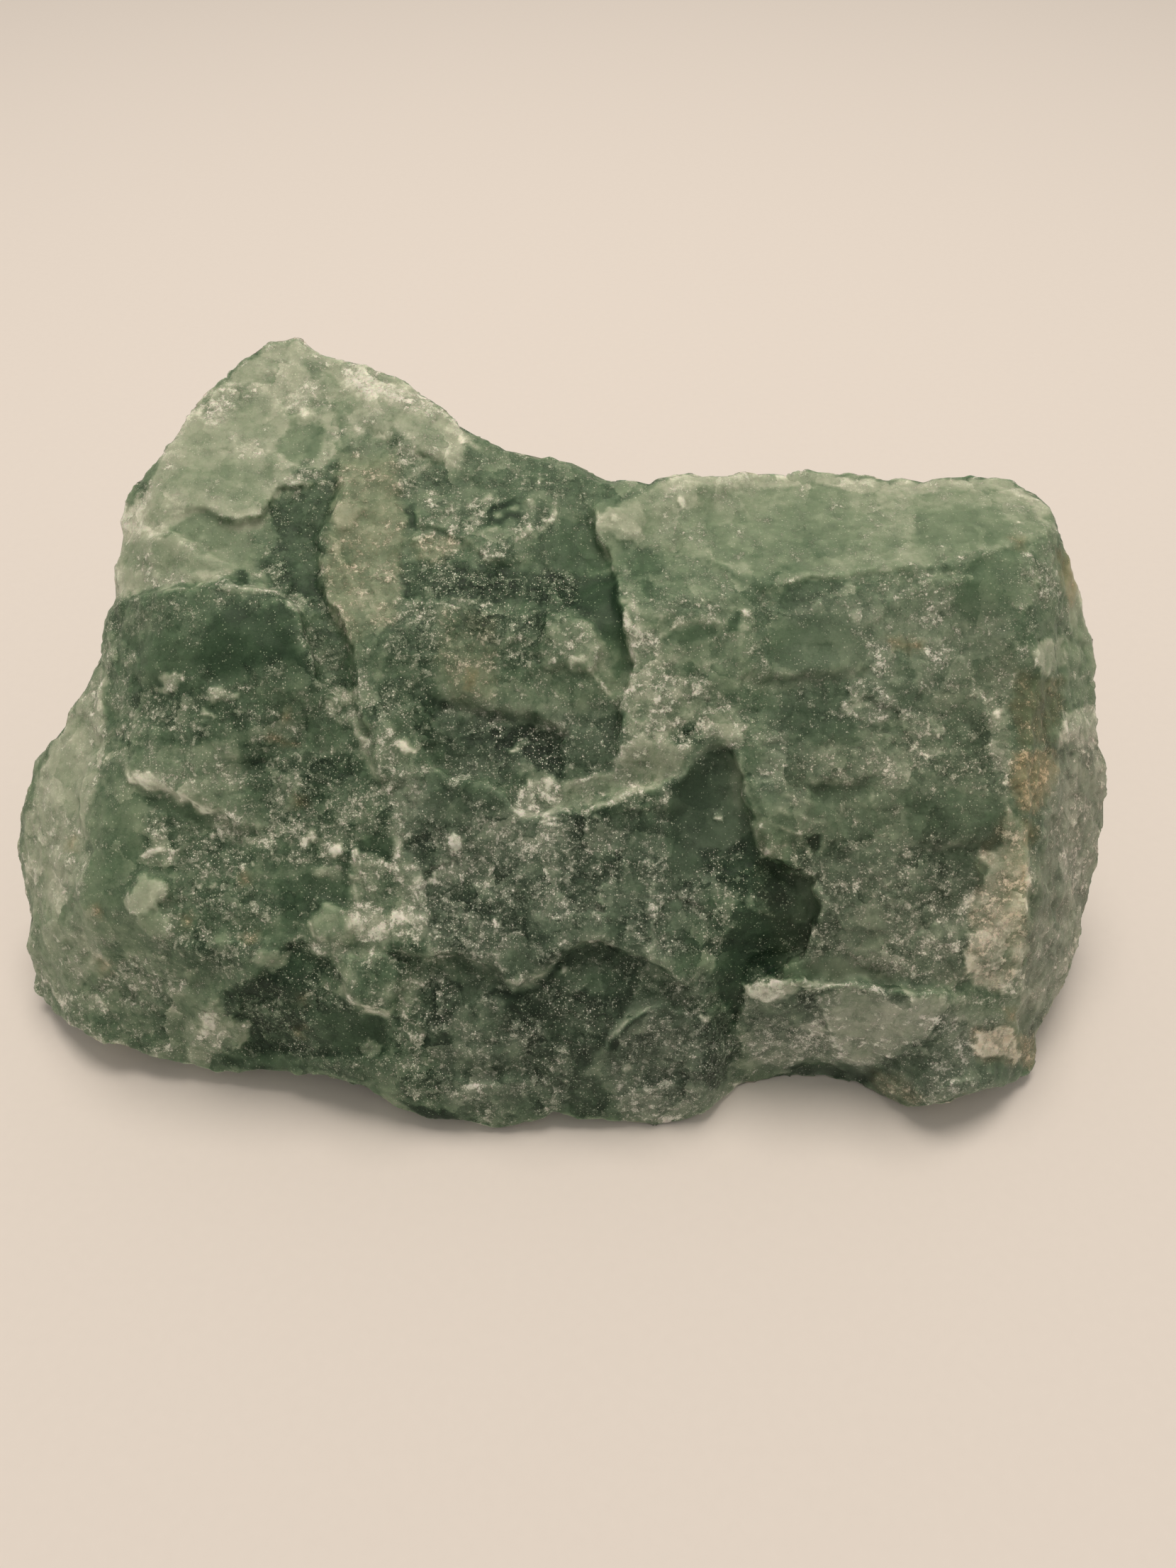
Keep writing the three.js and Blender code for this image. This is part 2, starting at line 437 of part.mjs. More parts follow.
// Cover the field with spots: first along the lines, then loosely in between
function scatterSpots(lines, spacing) {
  const spots = [];
  const settle = (a, b, gap) => {
    if (!spots.some((other) => Math.hypot(a - other[0], b - other[1]) < gap)) {
      spots.push([a, b]);
    }
  };
  for (const { line, closed } of lines) {
    const pairs = pairAlong(line, closed, CLIFF_WIDTH / 2, CLIFF_WIDTH / 2);
    pairs.forEach(([a, b]) => settle(a, b, CLOSEST_SPOTS));
  }
  RIM_ROWS.forEach(({ inner, outer, closest }, row) => {
    const rim = row === 0 ? makeRagged(OUTLINE, true) : OUTLINE;
    pairAlong(rim, true, outer, inner).forEach(([a, b]) => settle(a, b, closest));
  });
  for (const step of [spacing, OUTER_SPACING]) {
    const stray = { height: step * STRAY_SHARE.height, width: step * STRAY_SHARE.width };
    for (let b = FIELD.low; b <= FIELD.high; b += step * ROW_SHARE) {
      for (let a = FIELD.left; a <= FIELD.right; a += step) {
        const looseA = a + wave(a, b, stray, SEEDS.strayRight);
        const looseB = b + wave(a, b, stray, SEEDS.strayUp);
        const inside = depthInside(looseA, looseB, OUTLINE) > -1;
        if (inside === (step === spacing)) {
          settle(looseA, looseB, step * LOOSEST_SHARE);
        }
      }
    }
  }
  return spots;
}

// Join scattered spots into triangles so that no spot lies inside the circle through another three,
// starting from one triangle that reaches far round all of them
function joinSpots(spots) {
  const far = ROOM_WIDTH * 10;
  const points = [...spots, [-far, -far], [far, -far], [0, far]];
  const makeTriangle = (i, j, k) => {
    const [ax, ay] = points[i];
    const [bx, by] = [points[j][0] - ax, points[j][1] - ay];
    const [cx, cy] = [points[k][0] - ax, points[k][1] - ay];
    const twice = 2 * (bx * cy - by * cx);
    const x = (cy * (bx * bx + by * by) - by * (cx * cx + cy * cy)) / twice;
    const y = (bx * (cx * cx + cy * cy) - cx * (bx * bx + by * by)) / twice;
    return { corners: [i, j, k], x: ax + x, y: ay + y, reach: x * x + y * y };
  };
  const count = spots.length;
  let triangles = [makeTriangle(count, count + 1, count + 2)];
  for (let spot = 0; spot < count; spot += 1) {
    const [a, b] = points[spot];
    const edges = new Map();
    const kept = [];
    for (const triangle of triangles) {
      if ((a - triangle.x) ** 2 + (b - triangle.y) ** 2 >= triangle.reach) {
        kept.push(triangle);
        continue;
      }
      const [i, j, k] = triangle.corners;
      for (const [from, to] of [[i, j], [j, k], [k, i]]) {
        if (!edges.delete(`${to} ${from}`)) {
          edges.set(`${from} ${to}`, [from, to]);
        }
      }
    }
    triangles = kept;
    for (const [from, to] of edges.values()) {
      triangles.push(makeTriangle(from, to, spot));
    }
  }
  return triangles.map((triangle) => triangle.corners).filter((corners) => Math.max(...corners) < count);
}

// A sheet of triangles over the field, raised to its relief
function makeSheet(liftAt, lines, spacing) {
  const spots = scatterSpots(lines, spacing);
  return {
    spots: spots.map(([a, b]) => [a, b, liftAt(a, b)]),
    triangles: joinSpots(spots),
  };
}

// A closed block between a sheet and a level far behind it or in front of it
function makeBlock({ spots, triangles }, endLift) {
  const places = spots.map(([a, b, lift]) => place(a, b, lift));
  const ends = spots.map(([a, b]) => place(a, b, endLift));
  const facing = endLift < 0 ? triangles.map(([i, j, k]) => [i, k, j]) : triangles;
  const count = spots.length;
  const faces = [];
  const edges = new Map();
  for (const [i, j, k] of facing) {
    faces.push([i, j, k], [count + i, count + k, count + j]);
    for (const [from, to] of [[i, j], [j, k], [k, i]]) {
      if (!edges.delete(`${to} ${from}`)) {
        edges.set(`${from} ${to}`, [from, to]);
      }
    }
  }
  for (const [from, to] of edges.values()) {
    faces.push([to, from, count + from], [to, count + from, count + to]);
  }
  return makeSolid([...places, ...ends], faces);
}

// The space that the outline takes in, seen from the eye
function makeOutlineCone() {
  const count = OUTLINE.length;
  const nearRing = OUTLINE.map(([a, b]) => place(a, b, NEAR_LIFT - 1));
  const farRing = OUTLINE.map(([a, b]) => place(a, b, FAR_LIFT + 1));
  const flat = OUTLINE.map(([a, b]) => new THREE.Vector2(a, b));
  const caps = THREE.ShapeUtils.triangulateShape(flat, []);
  const turn = THREE.ShapeUtils.isClockWise(flat) ? 1 : -1;
  const faces = [];
  const add = (i, j, k) => faces.push(turn > 0 ? [i, k, j] : [i, j, k]);
  for (const [i, j, k] of caps) {
    faces.push([i, j, k], [count + i, count + k, count + j]);
  }
  for (let i = 0; i < count; i += 1) {
    const next = (i + 1) % count;
    add(i, count + i, next);
    add(next, count + i, count + next);
  }
  return makeSolid([...nearRing, ...farRing], faces);
}

// Everything above the flat face that the stone rests on
function makeRoomAbove() {
  const box = new THREE.BoxGeometry(ROOM_WIDTH, ROOM_WIDTH, ROOM_WIDTH / 2);
  box.translate(0, 0, ROOM_WIDTH / 4);
  const corners = mergeVertices(new THREE.BufferGeometry()
    .setAttribute('position', box.getAttribute('position')).setIndex(box.getIndex()));
  return makeSolidFrom(corners.getAttribute('position').array, corners.getIndex().array);
}

function makeSolid(places, faces) {
  const numbers = new Float32Array(places.flatMap((spot) => spot.toArray()));
  return makeSolidFrom(numbers, new Uint32Array(faces.flat()));
}

function makeSolidFrom(vertProperties, triVerts) {
  const mesh = new wasm.Mesh({
    numProp: 3,
    vertProperties: new Float32Array(vertProperties),
    triVerts: new Uint32Array(triVerts),
  });
  return new wasm.Manifold(mesh);
}

// Stand the stone on its flat face, with the middle of its footprint at the origin
function makeStoneGeometry() {
  const front = makeBlock(makeSheet(frontLift, [...frontLedges, ...plates], FRONT_SPACING), FAR_LIFT);
  const back = makeBlock(makeSheet(backLift, backLedges, BACK_SPACING), NEAR_LIFT);
  const stone = front.intersect(back).intersect(makeOutlineCone()).intersect(makeRoomAbove());
  const { vertProperties, triVerts } = stone.getMesh();
  const geometry = new THREE.BufferGeometry();
  geometry.setAttribute('position', new THREE.BufferAttribute(vertProperties, 3));
  geometry.setIndex(new THREE.BufferAttribute(triVerts, 1));
  geometry.computeBoundingBox();
  const middle = geometry.boundingBox.getCenter(new THREE.Vector3());
  geometry.translate(-middle.x, -middle.y, -geometry.boundingBox.min.z);
  geometry.computeVertexNormals();
  return geometry;
}

const fluorite = new THREE.MeshStandardMaterial({ color: 0x6f9678, roughness: 0.42, metalness: 0 });

const specimen = new THREE.Group();
const stone = new THREE.Mesh(makeStoneGeometry(), fluorite);
stone.name = 'fluorite_specimen';
specimen.add(stone);

export default specimen;
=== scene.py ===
# A rough chunk of pale green fluorite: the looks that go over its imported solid.
import itertools
import math

import bpy
import numpy as np
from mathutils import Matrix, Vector
from mathutils.bvhtree import BVHTree


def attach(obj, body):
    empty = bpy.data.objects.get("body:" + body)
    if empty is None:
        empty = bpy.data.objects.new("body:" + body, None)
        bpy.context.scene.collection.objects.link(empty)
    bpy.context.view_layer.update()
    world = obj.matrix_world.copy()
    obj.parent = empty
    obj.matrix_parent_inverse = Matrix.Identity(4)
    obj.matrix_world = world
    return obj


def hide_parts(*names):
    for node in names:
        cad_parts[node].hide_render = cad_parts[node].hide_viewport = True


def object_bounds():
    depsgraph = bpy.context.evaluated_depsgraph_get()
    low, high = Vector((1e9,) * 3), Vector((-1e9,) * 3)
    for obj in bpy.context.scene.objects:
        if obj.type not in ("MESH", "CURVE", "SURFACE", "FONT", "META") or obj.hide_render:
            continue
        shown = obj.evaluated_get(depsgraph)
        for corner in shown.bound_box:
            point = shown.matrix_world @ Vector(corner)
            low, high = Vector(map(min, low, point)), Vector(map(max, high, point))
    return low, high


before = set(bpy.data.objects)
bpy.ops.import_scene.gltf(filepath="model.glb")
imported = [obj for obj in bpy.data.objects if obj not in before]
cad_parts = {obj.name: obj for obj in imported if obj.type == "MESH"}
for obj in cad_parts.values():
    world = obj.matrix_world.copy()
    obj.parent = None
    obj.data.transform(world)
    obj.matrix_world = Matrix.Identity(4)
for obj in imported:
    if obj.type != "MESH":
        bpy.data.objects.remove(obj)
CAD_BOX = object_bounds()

bl_info = {
    "name": "Fluorite chunk",
    "version": (1, 0, 0),
    "blender": (4, 5, 0),
    "location": "View3D > Sidebar > Fluorite",
    "description": "Builds the broken surface, the colours and the stage of a rough fluorite chunk",
    "category": "Add Mesh",
}

MM = 0.001
NODE = "fluorite_specimen"

# The eye that looks down on the stone, in millimetres, and the drop of its line of sight
EYE = np.array([2.997, -96.155, 111.0])
SIGHT_DROP = math.radians(44)
SIGHT_LENGTH = 117.0
SIGHT = np.array([0.0, math.cos(SIGHT_DROP), -math.sin(SIGHT_DROP)])
SIGHT_RIGHT = np.array([1.0, 0.0, 0.0])
SIGHT_UP = np.array([0.0, math.sin(SIGHT_DROP), math.cos(SIGHT_DROP)])

# What shows on the side that faces the eye is drawn on a flat sketch, in tenths of a millimetre right and
# up from the middle of the view. Capital letters stand for its faces: C, the dark slab on the left, E, the
# plates below it, G, the long ridge, H, the face in the middle, J, the slab on the right, K, its outer
# edge, L, the scoop in the triangle, M, the rough mass in front, N, the lump at its foot, and O, the ledge
# at the lower right.
PER_MM = 10


def drawn(table):
    """Each row's values, and its outline or line in millimetres."""
    rows = []
    for row in table.replace("\n  ", " ").strip().splitlines():
        _, values, line = row.split(":")
        spots = np.array(line.split(), float).reshape(-1, 2) / PER_MM
        rows.append((*(float(value) for value in values.split()), spots))
    return rows


# The places, each over those before it: how milky it is from 0, deep and clear, to 1, white, how crumbly it
# is from 0 to 1, how far it stands out and how softly it fades out, in millimetres, and its outline. J dark
# under lip, the under ledge rows, N bottom rim and cave are painted shade, dark where shade falls under
# overhangs and along the foot, and sparkle top and sparkle bright are painted glints.
PLACES = drawn("""
upper lobe: .8 .32 0 .5: -438 207 -430 242 -408 272 -379 327 -326 383 -273 416 -176 378 -134 347 -114 324
  -114 295 -150 301 -227 337 -230 305 -255 275 -281 270 -300 251 -317 244 -353 251 -375 244 -402 226 -434
  221
lobe middle band: .68 .17 0 .9: -379 295 -346 305 -313 298 -286 305 -291 272 -326 263 -366 269 -389 275
lobe foot band: .74 .03 .05 .6: -379 265 -346 265 -317 258 -294 262 -300 251 -317 244 -353 251 -371 248
white band: .97 .98 .1 .5: -226 383 -209 382 -142 352 -124 331 -202 359 -223 371
lobe green plane: .73 .06 0 .5: -328 356 -296 361 -291 329 -315 316 -330 329
lobe pale plane: .72 .11 0 .6: -372 335 -336 371 -326 331 -342 298 -372 293
lobe right plane: .74 .3 0 .6: -184 348 -150 333 -124 316 -142 303 -194 329
lobe green flow: .67 .3 0 .4: -264 388 -251 388 -223 367 -213 354 -217 337 -228 339 -240 348 -230 357 -247
  367
lobe green window: .59 .03 -.1 .3: -281 323 -271 329 -248 331 -243 321 -247 303 -261 295 -287 305 -286 314
lobe green fleck: .62 .07 0 .3: -277 341 -269 341 -264 331 -275 327
lobe crumbs: .77 .77 0 .5: -284 367 -255 370 -235 350 -245 337 -261 332 -281 347
lobe pale chip: .89 .26 .2 .2: -264 347 -251 347 -250 337 -258 333 -264 337
lobe dusty corner: .53 1 0 .4: -271 292 -251 295 -235 288 -238 278 -255 277 -269 281
lobe left sparkle: .81 .85 .1 .4: -353 360 -320 370 -313 357 -326 337 -353 329 -364 344
lobe rim: .91 .51 0 .5: -432 226 -430 251 -406 272 -400 265 -411 249 -414 231 -425 222
shelf: .69 .13 0 .4: -444 200 -434 221 -371 234 -346 226 -320 226 -317 207 -323 195 -346 186 -379 183 -434
  169
shelf grey foot: .81 .35 .2 .3: -439 200 -326 195 -346 186 -379 183 -434 170
shelf dark spots: .71 .44 0 .5: -408 203 -382 207 -371 201 -385 195 -408 196
shelf hollow: .59 .03 .1 .3: -374 244 -353 250 -334 247 -328 236 -332 223 -346 218 -371 231 -376 238
shelf side: .64 .11 0 .6: -326 242 -300 246 -287 258 -284 200 -307 190 -320 200 -332 220
green mid strip: .57 .22 0 .6: -317 236 -286 252 -284 200 -304 200
strip: .36 .73 0 .4: -291 258 -281 269 -255 275 -240 292 -231 297 -230 272 -243 226 -245 200 -240 167 -212
  102 -211 69 -248 95 -261 118 -281 177 -294 180 -299 207 -286 220
strip dark core: .32 .46 0 .5: -284 262 -255 272 -235 265 -238 236 -247 200 -243 167 -255 167 -268 180 -281
  200 -281 239
strip knot: .26 .37 -.1 .3: -323 197 -313 200 -312 188 -317 180 -326 184
C block: .4 .6 0 .4: -444 154 -431 169 -411 175 -346 186 -281 174 -268 154 -248 95 -215 50 -215 33 -313 30
  -438 43 -445 69
C top smooth: .46 .63 0 .8: -434 163 -405 171 -346 171 -326 161 -346 148 -398 135 -431 135
C mid smooth: .36 .18 0 1.2: -431 135 -385 141 -353 131 -359 102 -398 95 -428 102
C dark heart: .22 .03 0 1.2: -346 154 -317 167 -281 164 -268 135 -264 112 -294 115 -346 95 -362 115
C lower smooth: .41 .63 0 1: -313 99 -255 102 -245 76 -281 69 -310 76
C left margin: .54 .75 .2 .4: -444 144 -421 125 -411 112 -425 105 -436 112 -444 108 -451 76 -458 69 -447 115
C speckled foot: .44 .79 0 .8: -438 79 -379 79 -326 69 -317 37 -431 37
C olive: .49 .8 0 .8: -317 69 -281 69 -255 50 -261 30 -307 30
C chips left: .82 .85 .25 .2: -395 99 -382 103 -375 94 -379 88 -389 82 -400 89 -392 91
C chips middle: .74 .97 .3 .2: -347 92 -338 92 -330 84 -320 86 -321 79 -347 75
C chip curve: .85 .2 .2 .2: -355 71 -342 61 -346 59 -355 64
white chip top: .64 .99 .4 .2: -336 186 -317 180 -299 183 -291 176 -319 170 -333 174 -338 180
pale wedge: .78 1 .2 .3: -281 175 -264 174 -260 161 -268 153 -277 161 -283 171
groove crumbs: .56 .97 0 .6: -261 148 -247 135 -228 86 -235 79 -248 92 -257 115
groove chip: .72 1 .3 .2: -232 90 -215 90 -213 79 -222 71 -232 73 -236 81
groove foot: .63 1 0 .5: -248 79 -228 76 -213 69 -215 50 -245 66
left flank: .76 .52 0 .6: -524 -61 -509 4 -490 50 -474 69 -444 115 -447 69 -441 20 -462 -29 -465 -61 -451
  -127 -451 -159 -470 -192 -483 -205 -511 -186 -513 -127
flank pale fold: .77 .18 0 .8: -503 24 -470 56 -457 30 -465 -29 -503 -16
flank rough foot: .66 .41 0 .6: -511 -107 -483 -91 -458 -94 -451 -127 -449 -159 -480 -192 -509 -186
flank chip: .75 .33 .1 .3: -504 -95 -490 -97 -485 -110 -500 -110
green stripe: .53 .31 0 .7: -444 4 -418 1 -402 -29 -418 -88 -426 -107 -438 -124 -444 -173 -451 -153 -452
  -120 -465 -107 -457 -61 -462 -29
stripe dark: .46 .24 0 .9: -444 -22 -421 -29 -418 -55 -428 -81 -444 -101 -454 -101 -454 -61
ridge ground: .6 .6 0 .6: -438 37 -320 37 -317 10 -326 -39 -379 -12 -411 -3 -421 4 -438 17
pale ridge: .87 .24 .06 .45: -425 12 -414 13 -346 -24 -326 -29 -317 -39 -333 -43 -351 -29 -379 -14 -402 -4
  -418 -1
ridge foot: .37 .17 -.2 .3: -409 -9 -359 -24 -340 -39 -338 -47 -356 -42 -375 -29 -395 -27 -408 -22
below ridge: .37 1 0 .7: -408 -29 -375 -32 -346 -45 -317 -48 -307 -71 -313 -88 -372 -88 -408 -61
frosty wedge: .51 .7 .2 .4: -402 -45 -375 -39 -362 -48 -371 -61 -408 -67 -400 -55
mid left plate: .48 .81 0 .8: -408 -78 -313 -78 -291 -101 -294 -146 -326 -173 -385 -159 -408 -140 -402 -120
chip plate: .74 .03 .35 .25: -418 -88 -408 -82 -397 -88 -389 -97 -387 -107 -393 -115 -404 -115 -411 -124
  -425 -117 -427 -107
chip plate foot: .6 .03 .2 .25: -425 -117 -404 -115 -385 -124 -382 -135 -389 -143 -402 -141
dark chink: .53 .67 -.2 .3: -411 -69 -393 -73 -385 -88 -397 -88 -408 -80
dark chink two: .53 .39 -.2 .3: -388 -94 -379 -102 -381 -114 -388 -116
lower left streaks: .64 .87 0 .6: -444 -166 -411 -153 -359 -173 -372 -192 -379 -212 -425 -212 -444 -192
bottom scales: .66 .87 0 .5: -511 -186 -444 -192 -434 -212 -457 -212 -470 -218 -425 -238 -411 -251 -477 -225
  -503 -199
bottom scale tip: .58 .73 .2 .3: -402 -238 -380 -237 -382 -250 -398 -251
left foot green: .47 .7 0 .6: -444 -212 -375 -212 -379 -238 -411 -238
ridge two: .52 .75 0 .6: -402 -143 -372 -150 -346 -159 -320 -174 -326 -182 -359 -174 -385 -159
fan chip: .56 .36 .2 .3: -349 -127 -336 -133 -326 -143 -333 -153 -346 -143
sparkle plate: .64 .56 .4 .3: -375 -218 -362 -216 -359 -204 -346 -197 -330 -218 -313 -215 -309 -228 -317
  -241 -330 -248 -346 -251 -353 -263 -371 -254
sparkle top: .97 1 .3 .3: -358 -215 -346 -210 -342 -218 -346 -228 -357 -228
pit: .22 .78 0 .3: -320 -182 -304 -174 -281 -173 -274 -143 -264 -141 -255 -153 -235 -161 -227 -178 -230 -192
  -186 -218 -183 -244 -186 -258 -255 -251 -326 -258 -340 -254 -310 -233 -313 -218 -333 -212 -338 -199
pit crumbs: .29 1 0 .6: -317 -192 -268 -189 -235 -192 -222 -205 -281 -238 -310 -225
pit green back: .3 .26 0 .7: -255 -212 -215 -202 -186 -222 -186 -248 -228 -250 -255 -238
pit chip: .63 .61 .2 .2: -212 -243 -202 -238 -192 -244 -196 -251 -209 -250
pit chip two: .36 1 .2 .3: -307 -205 -291 -200 -284 -212 -294 -225
lip: .39 .59 .1 .3: -326 -258 -186 -250 -176 -258 -183 -274 -215 -276 -281 -263 -320 -264
lip left: .27 .07 0 .3: -340 -258 -326 -251 -281 -251 -261 -258 -268 -264 -326 -265
tan chip: .73 .03 .2 .3: -312 -159 -291 -154 -279 -157 -282 -171 -291 -174
E left plate: .55 .33 .35 .3: -260 -130 -255 -119 -243 -108 -228 -106 -217 -117 -214 -132 -219 -150 -251
  -141
E skirt: .65 .9 0 .4: -255 -143 -215 -150 -186 -146 -189 -159 -215 -161 -255 -152
E low plate: .5 .63 .35 .3: -221 -159 -189 -156 -163 -167 -160 -182 -175 -192 -181 -210 -196 -213 -212 -202
  -222 -189 -223 -173
E low core: .32 .4 0 .5: -212 -171 -186 -167 -175 -178 -186 -189 -206 -192
powder ground: .44 1 0 .6: -294 -29 -235 -29 -215 -58 -215 -88 -255 -71 -294 -81
left of ring: .32 .41 0 .5: -287 -91 -255 -84 -228 -88 -215 -97 -215 -114 -245 -107 -261 -127 -281 -127
ring dark hole: .36 .9 -.2 .4: -208 -78 -186 -75 -163 -84 -158 -101 -170 -117 -196 -117 -210 -102
ring upper dark: .33 .52 -.2 .4: -212 -58 -196 -42 -184 -48 -181 -71 -202 -75
ring right dark: .38 1 -.2 .4: -173 -35 -151 -34 -147 -58 -137 -71 -147 -91 -170 -55
white bed: .68 1 .1 .5: -217 -61 -176 -75 -150 -88 -147 -127 -157 -146 -209 -146 -217 -120
column: .35 1 0 .6: -183 -146 -124 -146 -130 -205 -117 -297 -170 -297 -179 -258
column dark: .22 1 0 .5: -147 -166 -121 -167 -116 -192 -124 -218 -142 -218 -151 -192
G ridge: .61 .53 .1 .3: -228 336 -202 327 -176 305 -166 239 -176 213 -175 174 -186 102 -202 95 -212 105 -215
  131 -232 148 -240 167 -245 200 -232 265
G top green: .6 .43 0 .6: -222 305 -183 305 -168 265 -176 236 -222 265
G yellow chip: .72 .06 .25 .3: -234 262 -202 254 -215 233 -234 236
G bright face: .71 .73 .1 .5: -225 200 -209 207 -186 205 -171 175 -179 148 -199 146 -212 161
G brown foot: .55 .67 0 .7: -219 148 -176 148 -150 135 -176 105 -208 105
G dark flake: .42 .18 0 .3: -225 216 -217 213 -219 201 -228 203
G leaf: .23 .03 -.1 .2: -170 251 -163 254 -155 241 -157 233 -166 236
pale thread: .56 .83 .2 .4: -213 102 -196 102 -192 69 -176 43 -150 37 -150 4 -176 4 -189 7 -202 30 -215 43
  -217 69
thread bright: .98 .48 .2 .3: -173 44 -157 43 -150 35 -170 33 -176 38
thread foot: .57 1 0 .5: -196 14 -150 10 -147 -35 -176 -61 -189 -29
thread spark: 1 .52 .2 .3: -212 43 -201 42 -202 33 -212 35
green under C: .42 .86 0 .6: -313 30 -268 33 -215 30 -196 4 -228 -29 -281 -29 -313 -16
dark wedge: .28 .97 0 .5: -261 14 -235 29 -215 30 -209 14 -255 -22 -264 -9
speckled knot: .66 1 .1 .5: -291 10 -268 14 -264 -9 -271 -25 -287 -25 -295 -9
dusty slope: .5 1 0 .7: -353 -29 -294 -25 -235 -29 -215 -48 -228 -71 -294 -71 -326 -61
pinkish scale: .63 .5 .2 .2: -255 -76 -242 -73 -228 -75 -230 -84 -251 -85
below thread: .49 .95 0 .6: -248 -3 -189 1 -179 -35 -215 -55 -242 -42
H top green: .48 .58 0 .6: -150 305 -117 292 -91 310 -45 303 10 278 7 246 -32 252 -58 265 -150 265
H left green: .55 .78 0 .5: -181 331 -150 301 -117 295 -124 272 -150 262 -168 265 -183 298
H pale rays: .49 1 0 .5: -150 262 -117 256 -91 265 -85 252 -91 236 -124 236 -150 242
H dark ray gap: .06 .03 0 .8: -98 258 -62 262 -52 252 -72 236 -91 238
H ray fan: .5 .84 0 .5: -117 233 -85 233 -55 258 -32 259 -36 239 -51 226 -58 207 -91 207 -108 220
H smooth: .35 .13 0 .6: -49 229 -26 242 6 244 21 200 7 190 -32 193 -53 207
H tan chip: .7 1 .3 .3: -163 225 -147 231 -129 231 -117 223 -119 210 -134 203 -150 210
H crust: .24 1 0 .6: -173 213 -150 207 26 190 37 141 -19 161 -58 167 -111 171 -150 167 -172 177
H dark right: .2 .03 0 .5: -9 190 25 192 34 167 41 108 28 99 10 144 -9 161
H deep pocket: .25 .5 -.2 .4: -124 162 -94 161 -91 148 -117 142
H middle: .47 1 0 .7: -179 167 -124 171 -58 167 -26 148 -39 108 -85 102 -186 102 -179 135
H left face: .28 .63 -.1 .3: -176 210 -151 207 -150 171 -168 174 -176 187
H chip: .6 .65 .4 .3: -38 149 -19 156 4 148 12 131 13 108 -11 103 -23 108 -42 105 -47 125
H chip bright: 1 .28 .3 .2: -16 115 -3 116 -5 110 -15 108
H grey band: .47 .54 0 .7: -98 99 -45 105 26 95 28 69 -32 66 -91 69
H olive: .57 .44 0 .7: -137 108 -91 105 -85 69 -124 69 -143 89
H foot left: .38 .81 0 .7: -202 95 -143 99 -137 63 -150 30 -176 50 -196 69
hollow: .35 .67 0 .6: -153 79 -124 69 -85 69 -19 63 23 30 13 7 -26 5 -58 17 -111 7 -143 24 -153 50
hollow dark: .08 .99 -.2 .5: -91 50 -62 55 -32 50 -19 24 -26 7 -45 14 -62 30 -85 30
hollow dark left: .21 .89 -.2 .4: -153 79 -130 77 -124 67 -143 59 -153 66
hollow right: .39 .6 0 .5: -19 63 28 66 33 37 23 10 -16 7
hollow right dark: .32 .55 0 .4: 21 63 33 66 33 37 23 12 17 37
hollow spark: .4 1 .2 .3: -68 42 -55 46 -52 40 -62 30 -70 26
hollow floor: .37 .65 0 .5: -137 24 -55 10 -62 -22 -111 -29 -137 -9
river: .7 .92 0 .5: 28 187 40 167 42 108 34 79 43 17 85 30 102 43 121 43 141 37 138 69 111 95 75 108 66 135
  75 161 72 200 49 207 33 200
river mid: .56 .5 0 .5: 36 200 72 200 75 161 62 135 46 148
river boulder: .71 .36 .3 .3: 108 66 131 69 144 56 141 40 125 40 111 50
shell: .74 .57 .2 .4: -23 4 23 10 28 33 46 43 98 38 80 7 0 -26 -25 -24 -32 -9
crystals: .69 1 .25 .35: -66 -9 -52 5 -32 9 -26 -9 -34 -24 -58 -29 -70 -22
scratched bed: .53 .91 0 .5: -72 -29 -19 -29 7 -42 -19 -61 -58 -81 -85 -81 -91 -42
J slab: .65 .22 .1 .4: 10 252 33 260 79 285 209 288 275 277 376 282 406 272 425 249 433 231 373 213 357 203
  301 200 196 186 174 175 151 179 85 216 53 218 13 226 7 239
J nose: .76 .03 .2 .3: 7 247 20 258 49 260 53 242 43 225 8 234
J smooth green: .57 .18 0 1: 98 252 118 256 151 246 209 265 242 256 236 213 196 200 151 200 118 220
J green dab: .65 .03 0 .6: 115 256 131 260 134 246 121 236 113 239
J foot green: .39 .03 0 .5: 111 207 144 193 174 192 170 177 151 179 131 190
J pale foot: .58 .03 .1 .4: 203 197 242 200 275 207 265 197 216 186
J right green: .54 .03 0 .8: 301 252 373 256 392 236 373 220 327 213 301 220
J rim: .81 .24 0 .4: 75 286 209 290 275 278 379 282 406 273 428 246 419 246 399 265 373 272 334 272 275 265
  229 275 177 272 138 275 72 272
J pale corner: .73 .34 0 .5: 265 272 301 272 301 246 281 233 268 252
J notch: .47 .03 -.1 .3: 17 227 43 221 33 200 26 193 15 213
J notch two: .41 .12 -.1 .3: 46 218 72 213 74 200 62 192 43 188 34 200
river green: .41 .43 0 .4: 49 187 72 177 75 167 49 169
slab crack: .46 .4 -.1 .3: 72 161 111 167 131 158 125 148 82 144
J mid slab: .56 .56 0 .6: 75 200 111 201 138 187 174 175 196 186 242 190 373 213 432 231 438 200 442 161 438
  131 406 122 392 95 308 99 144 99 79 108 66 135 75 161
J dark under lip: .35 .17 0 .4: 174 173 203 186 239 188 229 173 196 167 174 156
J clear window: .44 .09 0 .8: 174 154 236 161 249 141 258 115 236 102 183 105 160 122
J lens: .42 .03 -.1 .3: 66 135 79 144 102 148 121 141 111 131 85 127
J lens under: .49 .37 0 .6: 79 128 111 129 118 115 98 108
J green nick: .26 .19 0 .4: 128 153 141 156 138 141 128 141
J right dark: .46 .16 0 .6: 353 207 399 221 399 167 373 154 340 148 337 180
J right dark two: .46 .47 0 .6: 386 161 432 167 438 144 425 131 399 131 386 148
J clump one: .69 .61 .1 .4: 245 161 278 167 268 148 252 141 244 148
J clump two: .57 .99 .1 .4: 258 127 275 133 283 125 278 112 262 105 257 115
